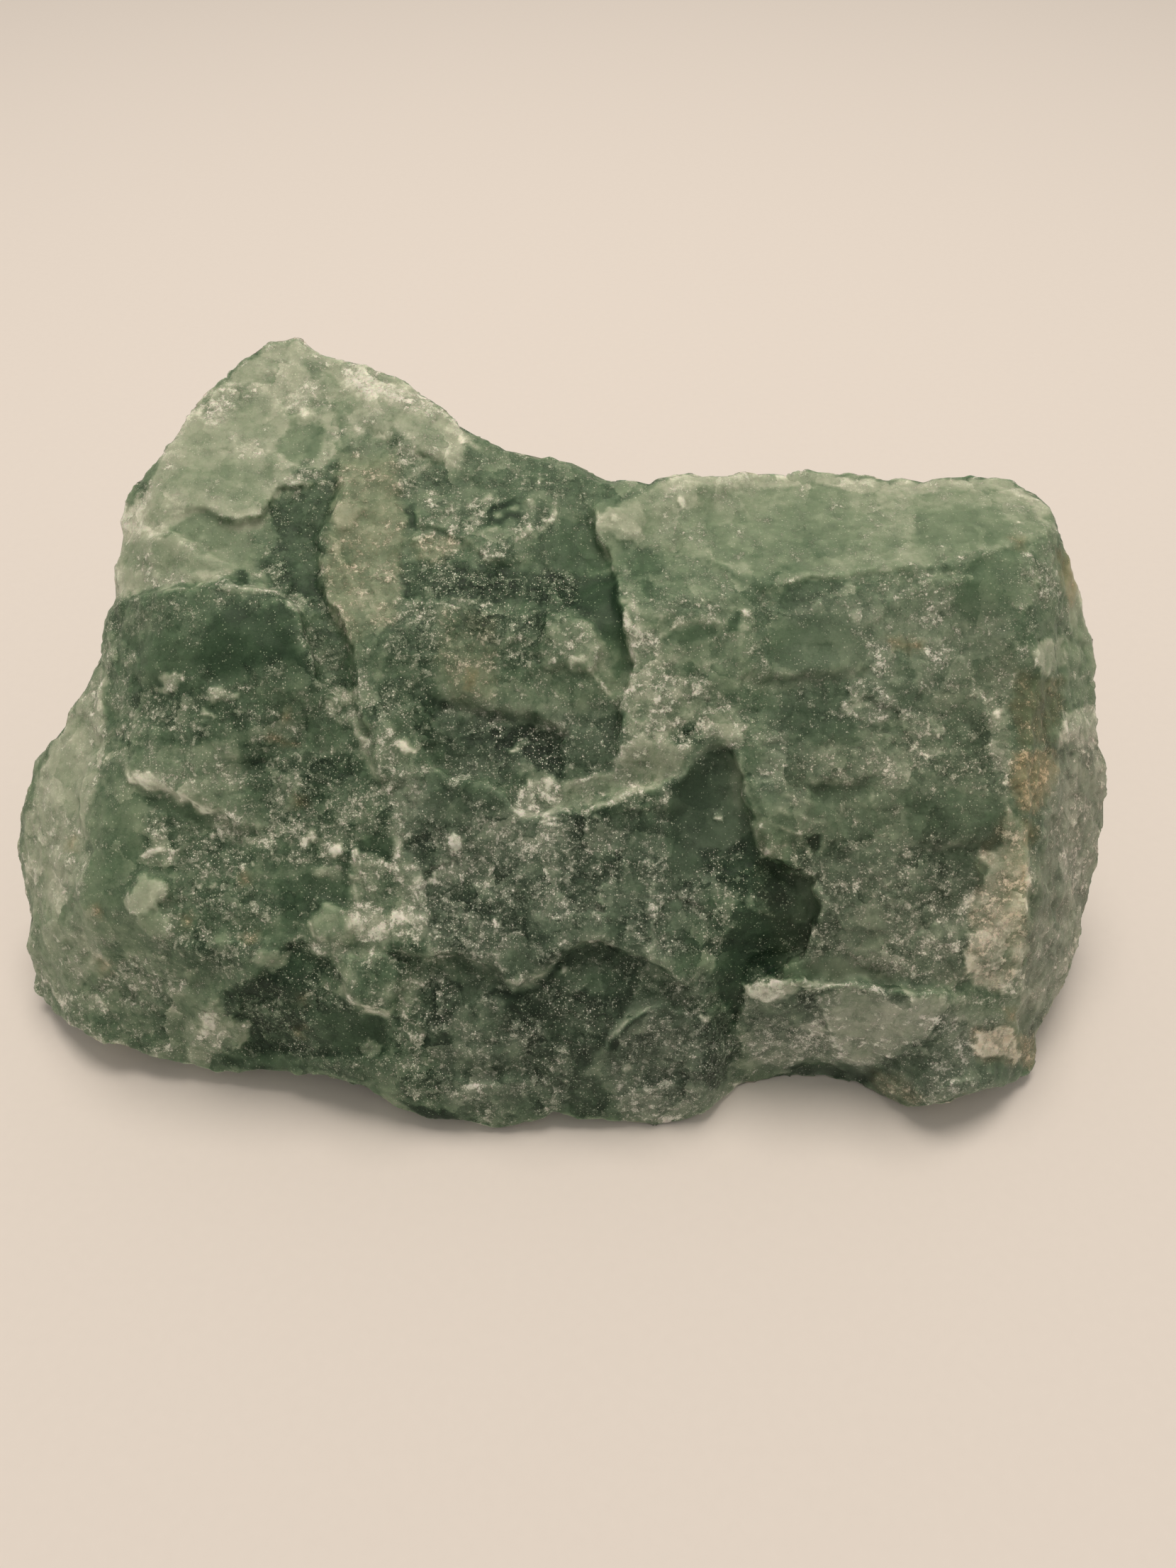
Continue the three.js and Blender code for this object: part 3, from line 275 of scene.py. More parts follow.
J clump three: .66 .74 .1 .5: 308 135 330 131 334 112 314 105 306 118
J clump four: .62 .71 .1 .5: 308 180 337 177 334 154 314 151
J clump five: .66 1 .1 .5: 353 92 379 99 389 76 392 50 376 43 355 79
J lower slab: .5 .67 0 .6: 138 99 392 95 399 30 392 -3 308 -9 242 1 177 1 151 4
J dark band: .45 .51 0 .5: 141 94 177 99 239 97 242 69 209 43 177 63 144 69
J dark band two: .35 .32 0 .5: 180 69 242 69 252 37 209 37 180 50
J clump six: .65 .79 .1 .5: 242 95 268 99 285 69 268 50 245 63
J clump seven: .61 .89 .1 .6: 242 30 327 33 330 10 294 4 249 7
J clump eight: .6 .75 .1 .4: 298 61 324 64 327 46 304 43
J pale drip: .58 1 .1 .4: 147 43 183 46 180 38 151 35
triangle: .49 .33 .15 .3: 152 5 209 -9 242 -45 229 -55 203 -52 170 -61 158 -61
triangle head: .46 .48 0 .4: 134 37 157 35 151 -22
J scale green: .36 .19 0 .4: 206 1 249 4 245 -16 216 -19
J lower dark: .37 .41 0 .7: 291 -12 340 -3 386 -16 383 -55 301 -52 291 -35
J lower dark two: .36 .41 0 .6: 308 -65 360 -58 370 -81 353 -94 321 -91
J low: .45 .85 0 .7: 177 -55 242 -48 308 -55 366 -88 373 -120 347 -179 275 -189 183 -166 206 -146 216 -120
  209 -88
J small dark: .02 .03 -.1 .3: 200 -55 213 -48 216 -61 206 -65
J low green: .55 .63 0 .7: 229 -114 268 -107 281 -140 268 -159 236 -153
J sparkle field: .6 1 .1 .6: 275 -107 321 -114 340 -133 340 -156 308 -159 278 -146
K rim: .64 .03 .1 .4: 438 200 448 200 468 135 470 102 461 99 458 131 448 135 442 161
K spots: .62 .98 0 .4: 409 197 428 200 438 174 419 167 411 180
K ledge: .78 .38 .2 .3: 409 125 422 131 438 135 438 108 419 102 409 110
K green flank: .57 .23 0 .4: 442 131 459 128 461 95 445 99
K brown: .42 .56 0 .5: 399 102 438 99 438 69 425 37 399 33 389 69
K flank ridge: .8 .63 .1 .4: 432 33 438 63 470 76 470 37 464 31 445 37
K orange: .62 .9 0 .5: 396 29 425 33 435 17 413 -27 399 -22 389 4
K cream: .75 .7 .1 .3: 360 -61 379 -55 389 -22 399 -29 409 -55 411 -94 406 -127 392 -127 373 -120 363 -94
  370 -81
K cream low: .78 .95 0 .7: 348 -102 368 -93 386 -120 407 -127 403 -159 389 -187 370 -193 352 -174 355 -139
K cream high: .69 1 0 .4: 373 43 392 37 399 17 386 -3 373 10
flank: .66 .59 0 .5: 432 24 474 33 481 4 477 -48 458 -133 438 -186 425 -205 406 -192 413 -61 419 -22
flank dark: .55 .45 0 .5: 412 -55 432 -48 438 -94 451 -120 432 -127 409 -120
flank dusk: .69 .29 0 .5: 448 17 474 20 477 -9 458 -9
flank frost: .77 .99 0 .5: 435 -55 451 -61 458 -94 448 -101 438 -81
flank low: .67 .54 0 .6: 399 -173 438 -166 432 -192 419 -212 399 -205
sparkle bright: 1 .79 .2 .2: 348 -140 373 -135 378 -146 350 -156
pale blob: 1 .09 .2 .3: 347 -156 358 -156 363 -174 348 -174
L scoop: .2 .46 0 .3: 111 31 138 33 152 -29 156 -61 208 -84 213 -107 211 -130 203 -148 185 -159 181 -176 144
  -182 141 -251 118 -258 111 -192 118 -159 141 -94 138 -61 118 -29 111 4
L window: .31 .07 0 .4: 77 4 111 30 138 31 144 -9 152 -35 154 -61 138 -84 72 -81 71 -48
L window dark: .24 .03 0 .6: 79 4 111 17 111 -42 79 -55 74 -29
L crumbs: .14 .76 0 .5: 105 -61 151 -48 157 -88 138 -101 111 -88
L inner plate: .43 .53 .1 .3: 151 -101 167 -107 174 -124 157 -124 144 -114
L right wall: .32 .03 0 .4: 193 -84 209 -88 213 -120 196 -133 187 -127 195 -107
L bits: .34 .7 .1 .3: 145 -166 162 -166 167 -176 151 -180
M mass: .41 1 0 .5: -150 -29 -85 -32 -19 -29 75 1 71 -61 75 -84 111 -84 138 -97 131 -127 115 -156 85 -182 49
  -166 13 -143 -26 -156 -45 -178 -65 -184 -85 -179 -91 -166 -143 -159 -150 -120 -147 -88
M frosty corner: .54 1 0 .6: -91 -35 -19 -39 -26 -81 -58 -88 -85 -71
M green eye: .33 .91 0 .6: 7 -61 46 -68 46 -101 13 -107 0 -88
M smooth: .45 .54 0 .5: 13 -94 46 -91 56 -120 20 -127
M foot band: .46 .54 0 .5: -85 -153 13 -127 46 -146 79 -156 111 -156 111 -169 85 -182 49 -166 13 -143 -26
  -156 -52 -176 -78 -179
M pale stripe: .5 .66 .15 .3: 51 -88 60 -88 63 -166 54 -163
M crumbs top: .4 .69 0 .6: 13 -16 69 -6 69 -68 33 -68 13 -48
M green lobe: .43 .68 0 .5: -143 -159 -91 -167 -85 -179 -45 -178 -55 -189 -91 -192 -117 -182 -140 -169
M right: .36 .74 0 .6: 72 -88 131 -101 115 -156 85 -153 66 -127
under ledge: .22 .84 0 .5: -39 -179 -26 -156 13 -143 49 -167 46 -199 26 -218 -6 -271 -32 -271 -91 -199 -58
  -189
under ledge deep: .34 .51 -.2 .4: -26 -159 13 -146 33 -159 33 -192 -19 -192 -32 -179
under ledge left: .13 .03 -.1 .3: -91 -192 -62 -192 -62 -212 -85 -205 -98 -195
under right: .41 1 0 .5: 49 -169 85 -182 111 -173 138 -218 111 -225 53 -192
N crumbs band: .37 1 0 .6: -62 -225 -19 -238 -13 -264 -19 -297 -58 -297
N plate: .47 .73 .1 .5: -114 -195 -91 -195 -65 -212 -62 -251 -72 -290 -111 -297 -117 -258
N plate low: .49 .8 0 .6: -117 -258 -72 -258 -45 -284 -58 -316 -98 -318 -124 -303
N arc: .42 .88 .2 .3: 17 -238 33 -218 53 -207 85 -205 111 -222 118 -251 111 -284 79 -297 33 -297 13 -271
N arc crest: .02 .03 .1 .3: 17 -241 33 -218 54 -205 56 -213 36 -226 21 -248
N green dark: .28 .6 -.1 .4: -16 -271 13 -267 20 -297 0 -307 -16 -303
N tip: .59 .93 .15 .3: 25 -297 33 -287 49 -282 98 -295 85 -313 46 -315 33 -307
N dark right: .29 1 0 .5: 105 -218 141 -225 138 -258 118 -284 102 -271
N front left: .41 .84 .1 .5: -55 -287 -32 -282 -16 -303 -45 -307
N bottom rim: .02 .03 0 .4: -176 -290 -85 -316 -91 -323 -150 -310
square crystal: .69 .5 .3 .15: 31 -258 40 -258 40 -267 32 -267
O lip: .47 .05 .1 .3: 183 -166 209 -159 242 -159 272 -182 242 -187 203 -178 185 -180
O bright ledge: .86 .82 .35 .25: 142 -195 145 -188 143 -183 164 -183 177 -179 209 -181 240 -188 198 -190 191
  -196 182 -199 175 -197 168 -202
O chunk: .52 .98 0 .5: 141 -202 177 -200 209 -192 373 -192 379 -225 360 -258 301 -271 196 -254 177 -258 151
  -244 138 -231
O left green: .5 .64 0 .5: 144 -205 190 -200 209 -205 216 -225 196 -228 170 -218 144 -218
O facets: .74 .79 .3 .3: 198 -224 206 -217 216 -225 221 -238 209 -235
O rib: .38 .67 .3 .2: 213 -197 219 -205 229 -241 224 -241 216 -218
O pale face: .74 .44 .05 .35: 212 -197 236 -191 262 -190 285 -200 321 -195 333 -203 312 -230 258 -259 237
  -260 225 -247 220 -218
O scales: .63 .9 .1 .4: 141 -238 167 -235 196 -244 193 -258 160 -258 141 -248
O right green: .63 .68 0 .5: 337 -192 373 -195 376 -218 357 -228 340 -218
O dark: .4 .51 -.1 .4: 280 -252 301 -246 317 -252 319 -267 301 -274 283 -263
O cream: .93 .94 .12 .3: 360 -230 379 -224 392 -227 396 -234 394 -241 400 -251 398 -258 387 -252 373 -249
  362 -252 358 -244 349 -239 360 -237
O olive: .62 1 0 .4: 399 -233 414 -231 415 -258 402 -258
O bottom: .5 .88 .1 .4: 262 -263 288 -271 327 -261 373 -271 386 -280 347 -284 321 -297 301 -295 275 -284
O bottom pale: .56 .59 .1 .3: 308 -287 366 -276 373 -280 347 -285 321 -297
O bottom green: .37 .14 0 .4: 373 -258 399 -261 406 -267 392 -277 376 -277
cave: .3 .23 -.2 .3: 170 -271 180 -261 216 -258 268 -261 265 -274 242 -280 209 -280
cave ledge: .34 .51 .1 .3: 175 -271 190 -263 209 -267 209 -275 183 -276
step chips: .95 .78 .2 .3: 131 -277 141 -271 151 -274 147 -282 134 -284
""")

# Thin bright lines: milkiness, width and height in millimetres, and the line. The glint rows are painted
# glints, bright spots of reflected light.
LINES = drawn("""
scratch: .98 .16 .12: -44 -29 -19 -33
scratch: .98 .16 .12: -42 -35 0 -42
scratch: .92 .14 .1: 2 -29 14 -33
scratch: .92 .14 .1: -62 -26 -42 -28
ray: 1 .24 .15: -111 254 -90 265
ray: .84 .27 .1: -114 239 -85 261
ray: .86 .24 .1: -176 275 -143 297 -129 305
ray: .92 .24 .15: -31 260 -30 251 -38 239 -49 228
ray: .84 .32 .1: -85 247 -55 258
ray: .82 .27 .1: -91 207 -58 231 -51 242
ray: .78 .27 .1: -114 220 -85 236
ray: .86 .36 .15: -53 258 -51 242 -55 234
crest rim: .84 .3 .15: -114 320 -106 311 -94 305
slab foot rim: .82 .25 .15: -176 311 -150 299 -124 295 -116 292
crystal edge: .96 .2 .3: 3 105 21 82
sliver: .95 .25 .2: -410 -67 -393 -59
sliver: .9 .2 .15: 160 -61 182 -57
sliver: .9 .2 .15: 161 -67 168 -63
step line: .66 .25 .15: 293 -58 321 -58 342 -55
step line: .62 .25 .15: 151 4 177 0 242 4
step line: .62 .2 .1: 209 0 236 1
triangle line: .74 .2 .1: 183 -9 209 -18
triangle line: .74 .2 .1: 177 -22 216 -37
triangle line: .74 .2 .1: 167 -35 196 -48
glint: 1 .3 .2: -426 239 -415 235
glint: 1 .25 .2: -409 235 -404 235
glint: 1 .25 .2: -402 229 -396 227
glint: .96 .25 .2: -400 238 -394 236
glint: .98 .3 .2: -213 328 -208 324
glint: .95 .2 .1: -333 348 -326 346
glint: .95 .2 .1: -299 383 -294 380
glint: .95 .2 .1: -290 383 -286 378
glint: .9 .2 .1: -304 378 -300 376
glint: .95 .2 .1: -295 307 -290 306
glint: .95 .25 .1: -176 39 -168 41
glint: .95 .2 .1: -70 29 -64 33
shelf rim: .88 .4 .1: -433 200 -432 186 -430 174
C rim: .5 .3 0: -411 175 -379 182 -346 186
strip rim: .68 .3 .1: -290 258 -279 265 -253 273 -235 286
H rim: .62 .2 .1: 7 242 11 226 32 177 37 151 42 112
groove rim: .7 .3 .1: -124 229 -108 223 -90 207
E rim: .9 .2 .15: -257 -127 -253 -140 -242 -145
E rim two: .84 .3 .15: -222 -195 -206 -208 -186 -213
M rim: .72 .3 .15: -85 -176 -72 -184 -55 -184 -42 -175 -26 -158
M rim right: .6 .3 .1: 49 -167 75 -182 102 -176
N rim: .66 .25 .1: 19 -237 34 -220 54 -207
flank line: .78 .25 .1: 447 7 453 17
shell foot: .88 .3 .15: -26 -24 0 -26 49 -4
crystal rim: .98 .25 .2: -70 -24 -55 -29 -32 -25
crystal rim two: .95 .2 .15: -55 4 -51 -9 -55 -25
crystal rim three: .95 .2 .15: -36 7 -39 -9 -31 -22
river rim: .8 .3 .1: 28 179 36 154 41 115
pit rim: .7 .3 .1: -277 -145 -264 -141 -253 -153 -228 -161
O rim: .74 .25 .1: 240 -187 265 -190
O rib line: .86 .2 .15: 213 -199 228 -241
ring leg: .86 .45 .15: -215 -65 -214 -120
ring leg right: .86 .45 .15: -159 -78 -153 -124
ring floor: .98 .75 .25: -214 -127 -189 -133 -173 -124 -151 -125
ring top: .8 .4 .1: -209 -73 -186 -75 -166 -78
column line: .86 .3 .15: -177 -22 -175 -48 -176 -75
M line: .64 .2 .05: 56 -61 59 -94 60 -140
K rim line: .85 .3 .1: 446 200 458 167 468 131 469 102
C pale line: .78 .25 .1: -317 179 -299 182 -281 174 -273 161
thread: .8 .3 .1: -217 69 -211 43 -196 7
ledge crumbs: .82 .4 .2: 82 150 111 152 126 148
ledge crumbs two: .84 .3 .15: 33 169 49 159 69 153
""")

# Iron stains: strength and outline
STAINS = drawn("""
ridge: .22: -230 305 -176 305 -168 236 -179 148 -215 131 -232 148 -245 200
chip: .25: -163 225 -129 231 -117 221 -132 203 -157 210
sandy: .18: -137 161 -85 154 -85 76 -124 76 -143 115
orange: .9: 396 29 425 33 436 17 413 -27 399 -22 389 4
brown: .5: 399 102 438 99 438 69 425 37 399 33 389 69
cream: .35: 360 -61 389 -22 409 -55 411 -127 406 -166 373 -192 347 -173
rim: .8: 430 216 446 210 453 180 443 161
notch: .5: 389 229 402 229 402 216 392 216
foot: .7: 396 -231 416 -230 416 -261 399 -258
low cream: .4: 353 -225 399 -222 399 -258 360 -258
fleck: .9: 298 131 308 129 306 122 298 123
fleck: .7: 275 133 308 133 304 125 281 125
fleck: .8: 385 -210 395 -209 394 -220 386 -218
fleck: .8: -375 -124 -367 -124 -368 -133 -375 -132
fleck: .7: -480 -52 -473 -51 -474 -59 -479 -58
fleck: .8: -460 -114 -453 -114 -454 -122 -460 -120
fleck: .6: -451 -163 -438 -163 -439 -174 -449 -173
fleck: .7: -321 -84 -312 -84 -313 -92 -320 -92
fleck: .8: -271 -12 -259 -14 -261 -22 -269 -22
fleck: .7: -297 50 -268 38 -281 37 -294 42
fleck: .8: -282 67 -273 66 -274 58 -281 59
fleck: .8: -114 105 -103 102 -106 86 -116 89
fleck: .6: -317 -139 -302 -137 -303 -144 -315 -144
fleck: .6: -268 -195 -260 -194 -261 -205 -267 -205
fleck: .6: -271 -224 -262 -222 -263 -233 -270 -231
foot brown: .35: 258 -265 283 -269 311 -290 301 -298 275 -289 260 -277
warm flank: .16: 432 43 474 56 484 4 477 -61 464 -127 438 -205 399 -258 392 -218
warm lower right: .08: 190 30 308 69 392 135 392 -192 308 -179 177 -179 151 -81
K orange flecks: .9: 399 -29 411 -35 409 -61 400 -55
K orange low: .8: 399 -71 406 -75 404 -101 399 -94
""")

# Stretches where a film of dust greys the green, and the cave, whose grey is painted shade: strength and
# outline
DUST_AND_SHADE_GREYS = drawn("""
right flank: .7: 432 43 474 56 484 4 477 -61 464 -127 438 -205 399 -258 392 -218
right foot: .5: 144 -192 275 -186 399 -225 399 -284 308 -297 209 -277 144 -258
middle mass: .35: -176 10 20 -29 111 -16 118 -94 72 -179 -19 -179 -85 -186 -150 -146 -176 -61
middle foot: .5: 13 -192 79 -192 138 -238 131 -297 46 -316 7 -271
lower right slab: .4: 209 -61 386 -29 386 -179 209 -192 164 -101
hollow: .3: -150 82 33 69 33 4 -124 4
right slab: .25: 190 180 392 167 399 -29 209 -61 151 -9 177 102
triangle: .5: 72 -3 111 40 131 37 151 -61 85 -75
lower middle: .35: -150 -173 111 -179 111 -205 20 -205 13 -297 -124 -303 -150 -225
cave: .9: 183 -258 265 -254 268 -280 229 -284 183 -274
""")

# Small bright dabs: right and up, then the radius in millimetres, the milkiness and the height
DABS = np.array("""
-124 -54 .65 1 .4, -212 -63 .52 .98 .3, -255 -48 .59 .95 .3, -232 -61 .52 .95 .3, -217 -88 .33 1 .3,
-232 -65 .39 .95 .2, -261 -52 .39 .9 .2, -143 -88 .39 .95 .2, -85 -125 .39 .95 .2, -346 -49 .2 1 .2,
-284 -22 .2 1 .2, -349 -75 .2 1 .2, -313 -75 .2 .95 .2, -116 318 .26 1 .2, -44 277 .2 1 .2,
-129 231 .2 1 .2, -91 205 .26 1 .2, 79 148 .26 .98 .2, 147 156 .33 .98 .2, 62 76 .26 .96 .2,
87 261 .33 .92 .2, 26 244 .33 .86 .2, 355 82 .26 .95 .2, 383 -189 .46 .95 .3, 121 -29 .33 .85 .3,
108 -215 .39 .86 .3, -19 -174 .39 .85 .3, 398 242 .2 .95 .1, -346 -94 .26 .95 .2, -359 -94 .2 .95 .2,
-208 40 .26 .96 .2, -405 7 .26 .9 .2, -421 4 .33 1 .3, 242 69 .52 .78 .2, 321 50 .59 .75 .2,
376 63 .52 .8 .2, 216 59 .26 .75 .2, 92 50 .26 .85 .1, -124 -54 .65 1 .3
""".replace(",", " ").split(), float).reshape(-1, 5)
DABS[:, :2] /= PER_MM

# Lighter and darker clouds in the stone, among them painted shade along the lower rim and in the cave, and
# painted light over the shadows under ledges: right, up, half width, half height, and the change of
# milkiness
CLOUDS_AND_PAINTED_SHADE = np.array("""
-245 311 16 21 -.14, -312 261 20 10 -.16, -317 238 31 6 .12, -126 248 16 10 .14, -91 234 14 9 -.12,
-111 175 10 10 .14, -52 153 33 14 -.14, 28 171 9 22 -.14, -171 156 12 17 .12, -111 131 22 9 .13,
10 116 29 16 .14, -103 67 22 5 .14, -36 52 18 14 .16, -101 42 24 12 -.13, -42 26 20 12 -.12,
91 95 21 9 -.14, 95 46 18 10 -.12, 134 13 13 20 .14, 147 247 43 22 .06, 177 197 29 6 -.12, 174 95 39 9 .12,
257 88 22 9 -.14, 310 92 10 13 .13, 358 78 20 13 .12, 379 48 10 22 .13, 288 12 29 22 .08,
10 -25 26 12 -.12, 45 -26 20 10 .1, -123 -78 18 20 .16, -166 -22 12 10 .12, -185 -93 12 14 -.12,
-140 -154 20 14 .12, -164 -192 14 16 .12, -238 -191 17 10 .14, -45 -116 17 22 .12, -31 -161 9 9 -.12,
-309 -235 14 20 .12, -447 -166 13 10 .1, -107 -244 13 10 .1, -130 -273 22 12 -.1, 95 -195 14 9 .12,
252 -258 14 10 .12, 389 -212 20 16 .12, 383 -105 13 14 -.1, 342 -111 10 9 -.12, 330 -144 20 17 .1,
447 163 12 22 .1, 433 94 22 17 .08, -309 -35 16 9 .12, -425 102 9 39 .06, -189 362 42 10 .1,
-326 61 20 14 -.08, -248 99 17 17 -.1, -160 -146 10 9 -.12, 23 -39 12 9 .1, 66 -16 14 9 .08,
190 -176 17 9 -.1, 258 -156 20 12 .1, 281 -29 10 13 .1, 151 148 17 9 .06, -392 59 17 12 .08,
-281 66 13 10 .08, -483 -235 20 10 -.04, -85 -307 26 7 .06, -45 272 10 13 .08, 131 210 20 8 -.06,
-72 66 56 9 .13, 26 102 18 33 .12, 139 -3 10 33 .2, -333 -32 24 10 .12, -119 -75 8 29 .1,
-150 -176 14 29 .1, -326 -228 18 12 .12, -235 -192 17 9 .1, -45 -127 12 12 .12, 370 -184 22 9 .12,
236 -246 18 10 .1, 17 216 12 12 .1, -434 86 9 36 .1, -176 327 24 10 .06, -19 -251 13 13 .1,
-16 159 21 10 -.13, -75 177 14 16 -.1, -258 -16 25 22 -.1, -202 -66 29 8 -.1, -340 -120 12 12 -.08,
-369 -166 17 10 -.1, -287 -182 29 13 -.1, -98 -114 17 10 -.1, -32 -163 16 13 -.12, 92 46 13 8 -.1,
69 -3 22 8 -.1, -6 -43 12 9 -.1, 180 187 16 20 -.08, 200 -199 12 18 -.1, 317 -76 18 8 -.1, 376 -9 8 16 -.1,
343 40 20 10 -.1, 216 37 13 9 -.08, -274 164 18 14 -.12, -253 122 10 33 -.12, -304 175 29 8 -.1,
-186 -179 9 33 .1, -91 -163 17 10 .14, -176 324 20 16 .08, -356 -169 46 17 -.06, 262 -166 65 17 .06,
383 -199 13 20 .12, -287 -252 20 8 .1, 301 -243 4 3 -.5, 170 -271 39 16 .06, -281 37 13 20 .08,
-496 -81 20 39 .06, -372 -21 39 9 .08, -85 -32 33 9 .08, 152 -39 9 17 .14, -36 50 20 9 .14,
85 116 14 7 .14, 41 114 9 9 .14, 54 82 9 12 .12, -323 -48 16 16 .12, -436 43 9 12 .16, -317 29 16 7 .12,
-210 -139 16 12 .13, -167 -195 16 20 .14, -150 -159 13 8 .08, -44 -193 8 10 .14, 458 89 8 13 .14,
432 229 5 16 .1, -215 323 9 14 .12, -103 316 13 7 .1, 80 -265 12 10 .12, 151 -259 12 7 .1,
239 -258 26 7 .1, -136 -82 9 17 .1, 363 -107 16 9 .06, 144 102 13 8 .08, -6 69 10 8 .1, -19 102 10 7 .08,
141 272 17 7 .08, 92 262 13 9 .08, 92 43 17 8 -.16, 67 95 9 16 -.13, -90 161 10 13 -.11, -32 167 9 17 -.08,
-201 69 20 8 -.15, -279 108 20 16 -.08, -227 -61 12 7 -.14, -286 -29 16 9 -.1, -38 -64 17 12 -.13,
-5 -39 9 9 -.1, -136 -8 14 14 -.1, -58 -3 9 7 -.1, -64 -218 13 13 -.18, -32 -228 8 33 -.1,
-134 -217 12 8 -.12, -176 -218 9 9 -.15, -104 -117 12 9 -.13, -114 -146 10 8 -.1, -304 -110 16 14 -.1,
-291 -159 33 16 -.07, -364 -174 16 13 -.06, 193 -71 17 8 -.13, 242 -60 10 7 -.1, 317 -75 20 7 -.08,
170 -173 9 8 -.14, 213 -132 9 8 -.12, 350 14 14 20 -.09, 381 1 8 13 -.06, 406 33 9 16 -.1,
-470 -68 16 16 -.07, -392 244 13 16 -.08, -94 258 16 9 -.13, -127 285 16 16 -.06, 268 218 39 9 -.05,
209 167 20 7 -.08, 223 -277 33 7 -.2, 342 -244 14 12 -.08, -320 -261 29 5 -.14, -212 -285 39 7 -.14,
-418 -243 22 6 -.12, 268 -289 12 5 -.1, 79 207 20 13 .05, 111 200 9 13 -.08, 105 -91 17 8 -.1,
111 -48 16 8 -.06, -326 50 12 12 -.08, -411 69 9 12 -.08, -362 69 12 9 -.08, 236 30 20 10 -.07,
334 46 16 9 -.06, 397 -156 8 12 .2, 342 -132 7 7 .12, 363 -148 16 7 .1, -449 -169 10 13 .14,
-245 112 7 20 .12
""".replace(",", " ").split(), float).reshape(-1, 5)
CLOUDS_AND_PAINTED_SHADE[:, :4] /= PER_MM

# How far round a drawn place its looks can reach, in millimetres
MARGIN = 2.0

# How far the borders of the places wander, in millimetres: the size of the bends, their reach, and the
# seeds of their draws
BENDS = [(3.2, 0.32), (1.3, 0.22)]
FINE_BENDS = [(1.5, 0.35), (0.6, 0.22), (0.25, 0.1)]
BENDS_SEED = 51
FINE_BENDS_SEED = 55

# Milkiness and crumb where nothing is drawn
PLAIN_MILK = 0.5
PLAIN_CRUMB = 0.45

# What swells and dips over the stone: its size in millimetres and the seed of its draw
BROAD = (13, 31)
MIDDLING = (5.5, 32)
FINE = (2.2, 33)
WINDOWS = (9, 35)
CRUMBLING = (8, 36)
LINE_BREAKS = (1.3, 45)
VEINS = (16, 71)
VEIN_BENDS = (4, 72)
ROLLS = (3.5, 87)
CRUMBS = (0.9, 88)
PITS = (4.0, 89)
RIM_WEAR_AND_CREASE_SHADE = (1.7, 91)

# The plates of the hidden sides: their width and their seed
PLATE_WIDTH = 6.5
PLATE_SEED = 34

# The chips that break the surface: their width in millimetres, and how far they lean and step for it.
# They are bent by swells of one size, with one seed for each direction.
CHIPS = [(5.2, 0.045, 0.02), (2.3, 0.065, 0.035), (1.15, 0.08, 0.05)]
CHIPS_SEED = 84
CHIP_BEND = 2.4
CHIP_BEND_SEEDS = (81, 82, 83)

# The surface below the first of these heights stays as packed, and above the second it is fully broken
FOOT = (0.35, 1.6)

# How deep light gets into the stone, and the greatest depth that is looked at, in millimetres
LIGHT_DEPTH = 5.0
GREATEST_DEPTH = 30

# The stone's grain. Each noise has its scale to a millimetre, its detail and its roughness.
CLOUDY = (0.22, 4.0, 0.6)
CLUSTERED = (0.5, 4.0, 0.65)
GRAINY = (1.45, 8.0, 0.74)
HAZY = (2.4, 6.0, 0.75)
DUSTY = (6.0, 3.0, 0.65)
SWAYING = (0.9, 5.0, 0.7)

# Cells to a millimetre: broad and small chips, and facets
PLATE_SCALE = 0.3
CHIP_SCALE = 0.95
FACET_SCALE = 2.4

# White specks, and painted glints, small bright spots in the colour in place of reflected light: cells to a
# millimetre, radius and soft edge in cells, and rarity
SPECKS = (3.0, 0.26, 0.07, 0.8)
GLINTS = (5.5, 0.3, 0.08, 0.85)

# Fluorite's index of refraction, and how far each colour of light travels in it for the others
INDEX = 1.434
GLOW_SPREAD = (0.6, 1.0, 0.7)

MIDDLE = (0.5, 0.5, 0.5)

# The camera's sensor in millimetres, and the nearest and farthest that it sees, in metres
SENSOR_WIDTH = 36.0
CLIP = (0.005, 20.0)


def smooth_step(low, high, value):
    """0 below low, 1 above high and an even curve in between."""
    share = np.clip((value - low) / (high - low), 0, 1)
    return share * share * (3 - 2 * share)


def scattered(cells, seed, count):
    """For each whole-number cell, count steady numbers from 0 to 1."""
    x, y, z = (cells[:, i].astype(np.int64).astype(np.uint32) for i in range(3))
    mixed = x * np.uint32(0x8DA6B343) ^ y * np.uint32(0xD8163841) ^ z * np.uint32(0xCB1AB31F)
    mixed ^= np.uint32(seed * 2654435 + 101)
    numbers = np.empty((len(cells), count))
    for i in range(count):
        for shift, factor in ((16, 0x7FEB352D), (15, 0x846CA68B)):
            mixed ^= mixed >> np.uint32(shift)
            mixed *= np.uint32(factor)
        mixed ^= mixed >> np.uint32(16)
        numbers[:, i] = mixed / 2**32
        mixed += np.uint32(0x9E3779B9)
    return numbers


def swell(points, size, seed):
    """Smooth hills and dips about size apart, from about -1 to 1."""
    places = points / size
    cells = np.floor(places)
    inner = places - cells
    fade = inner * inner * inner * (inner * (inner * 6 - 15) + 10)
    total = np.zeros(len(points))
    for corner in itertools.product((0, 1), repeat=3):
        lean = scattered(cells + corner, seed, 3) * 2 - 1
        share = np.prod(np.where(corner, fade, 1 - fade), axis=1)
        total += share * (lean * (inner - corner)).sum(axis=1)
    return total * 1.7


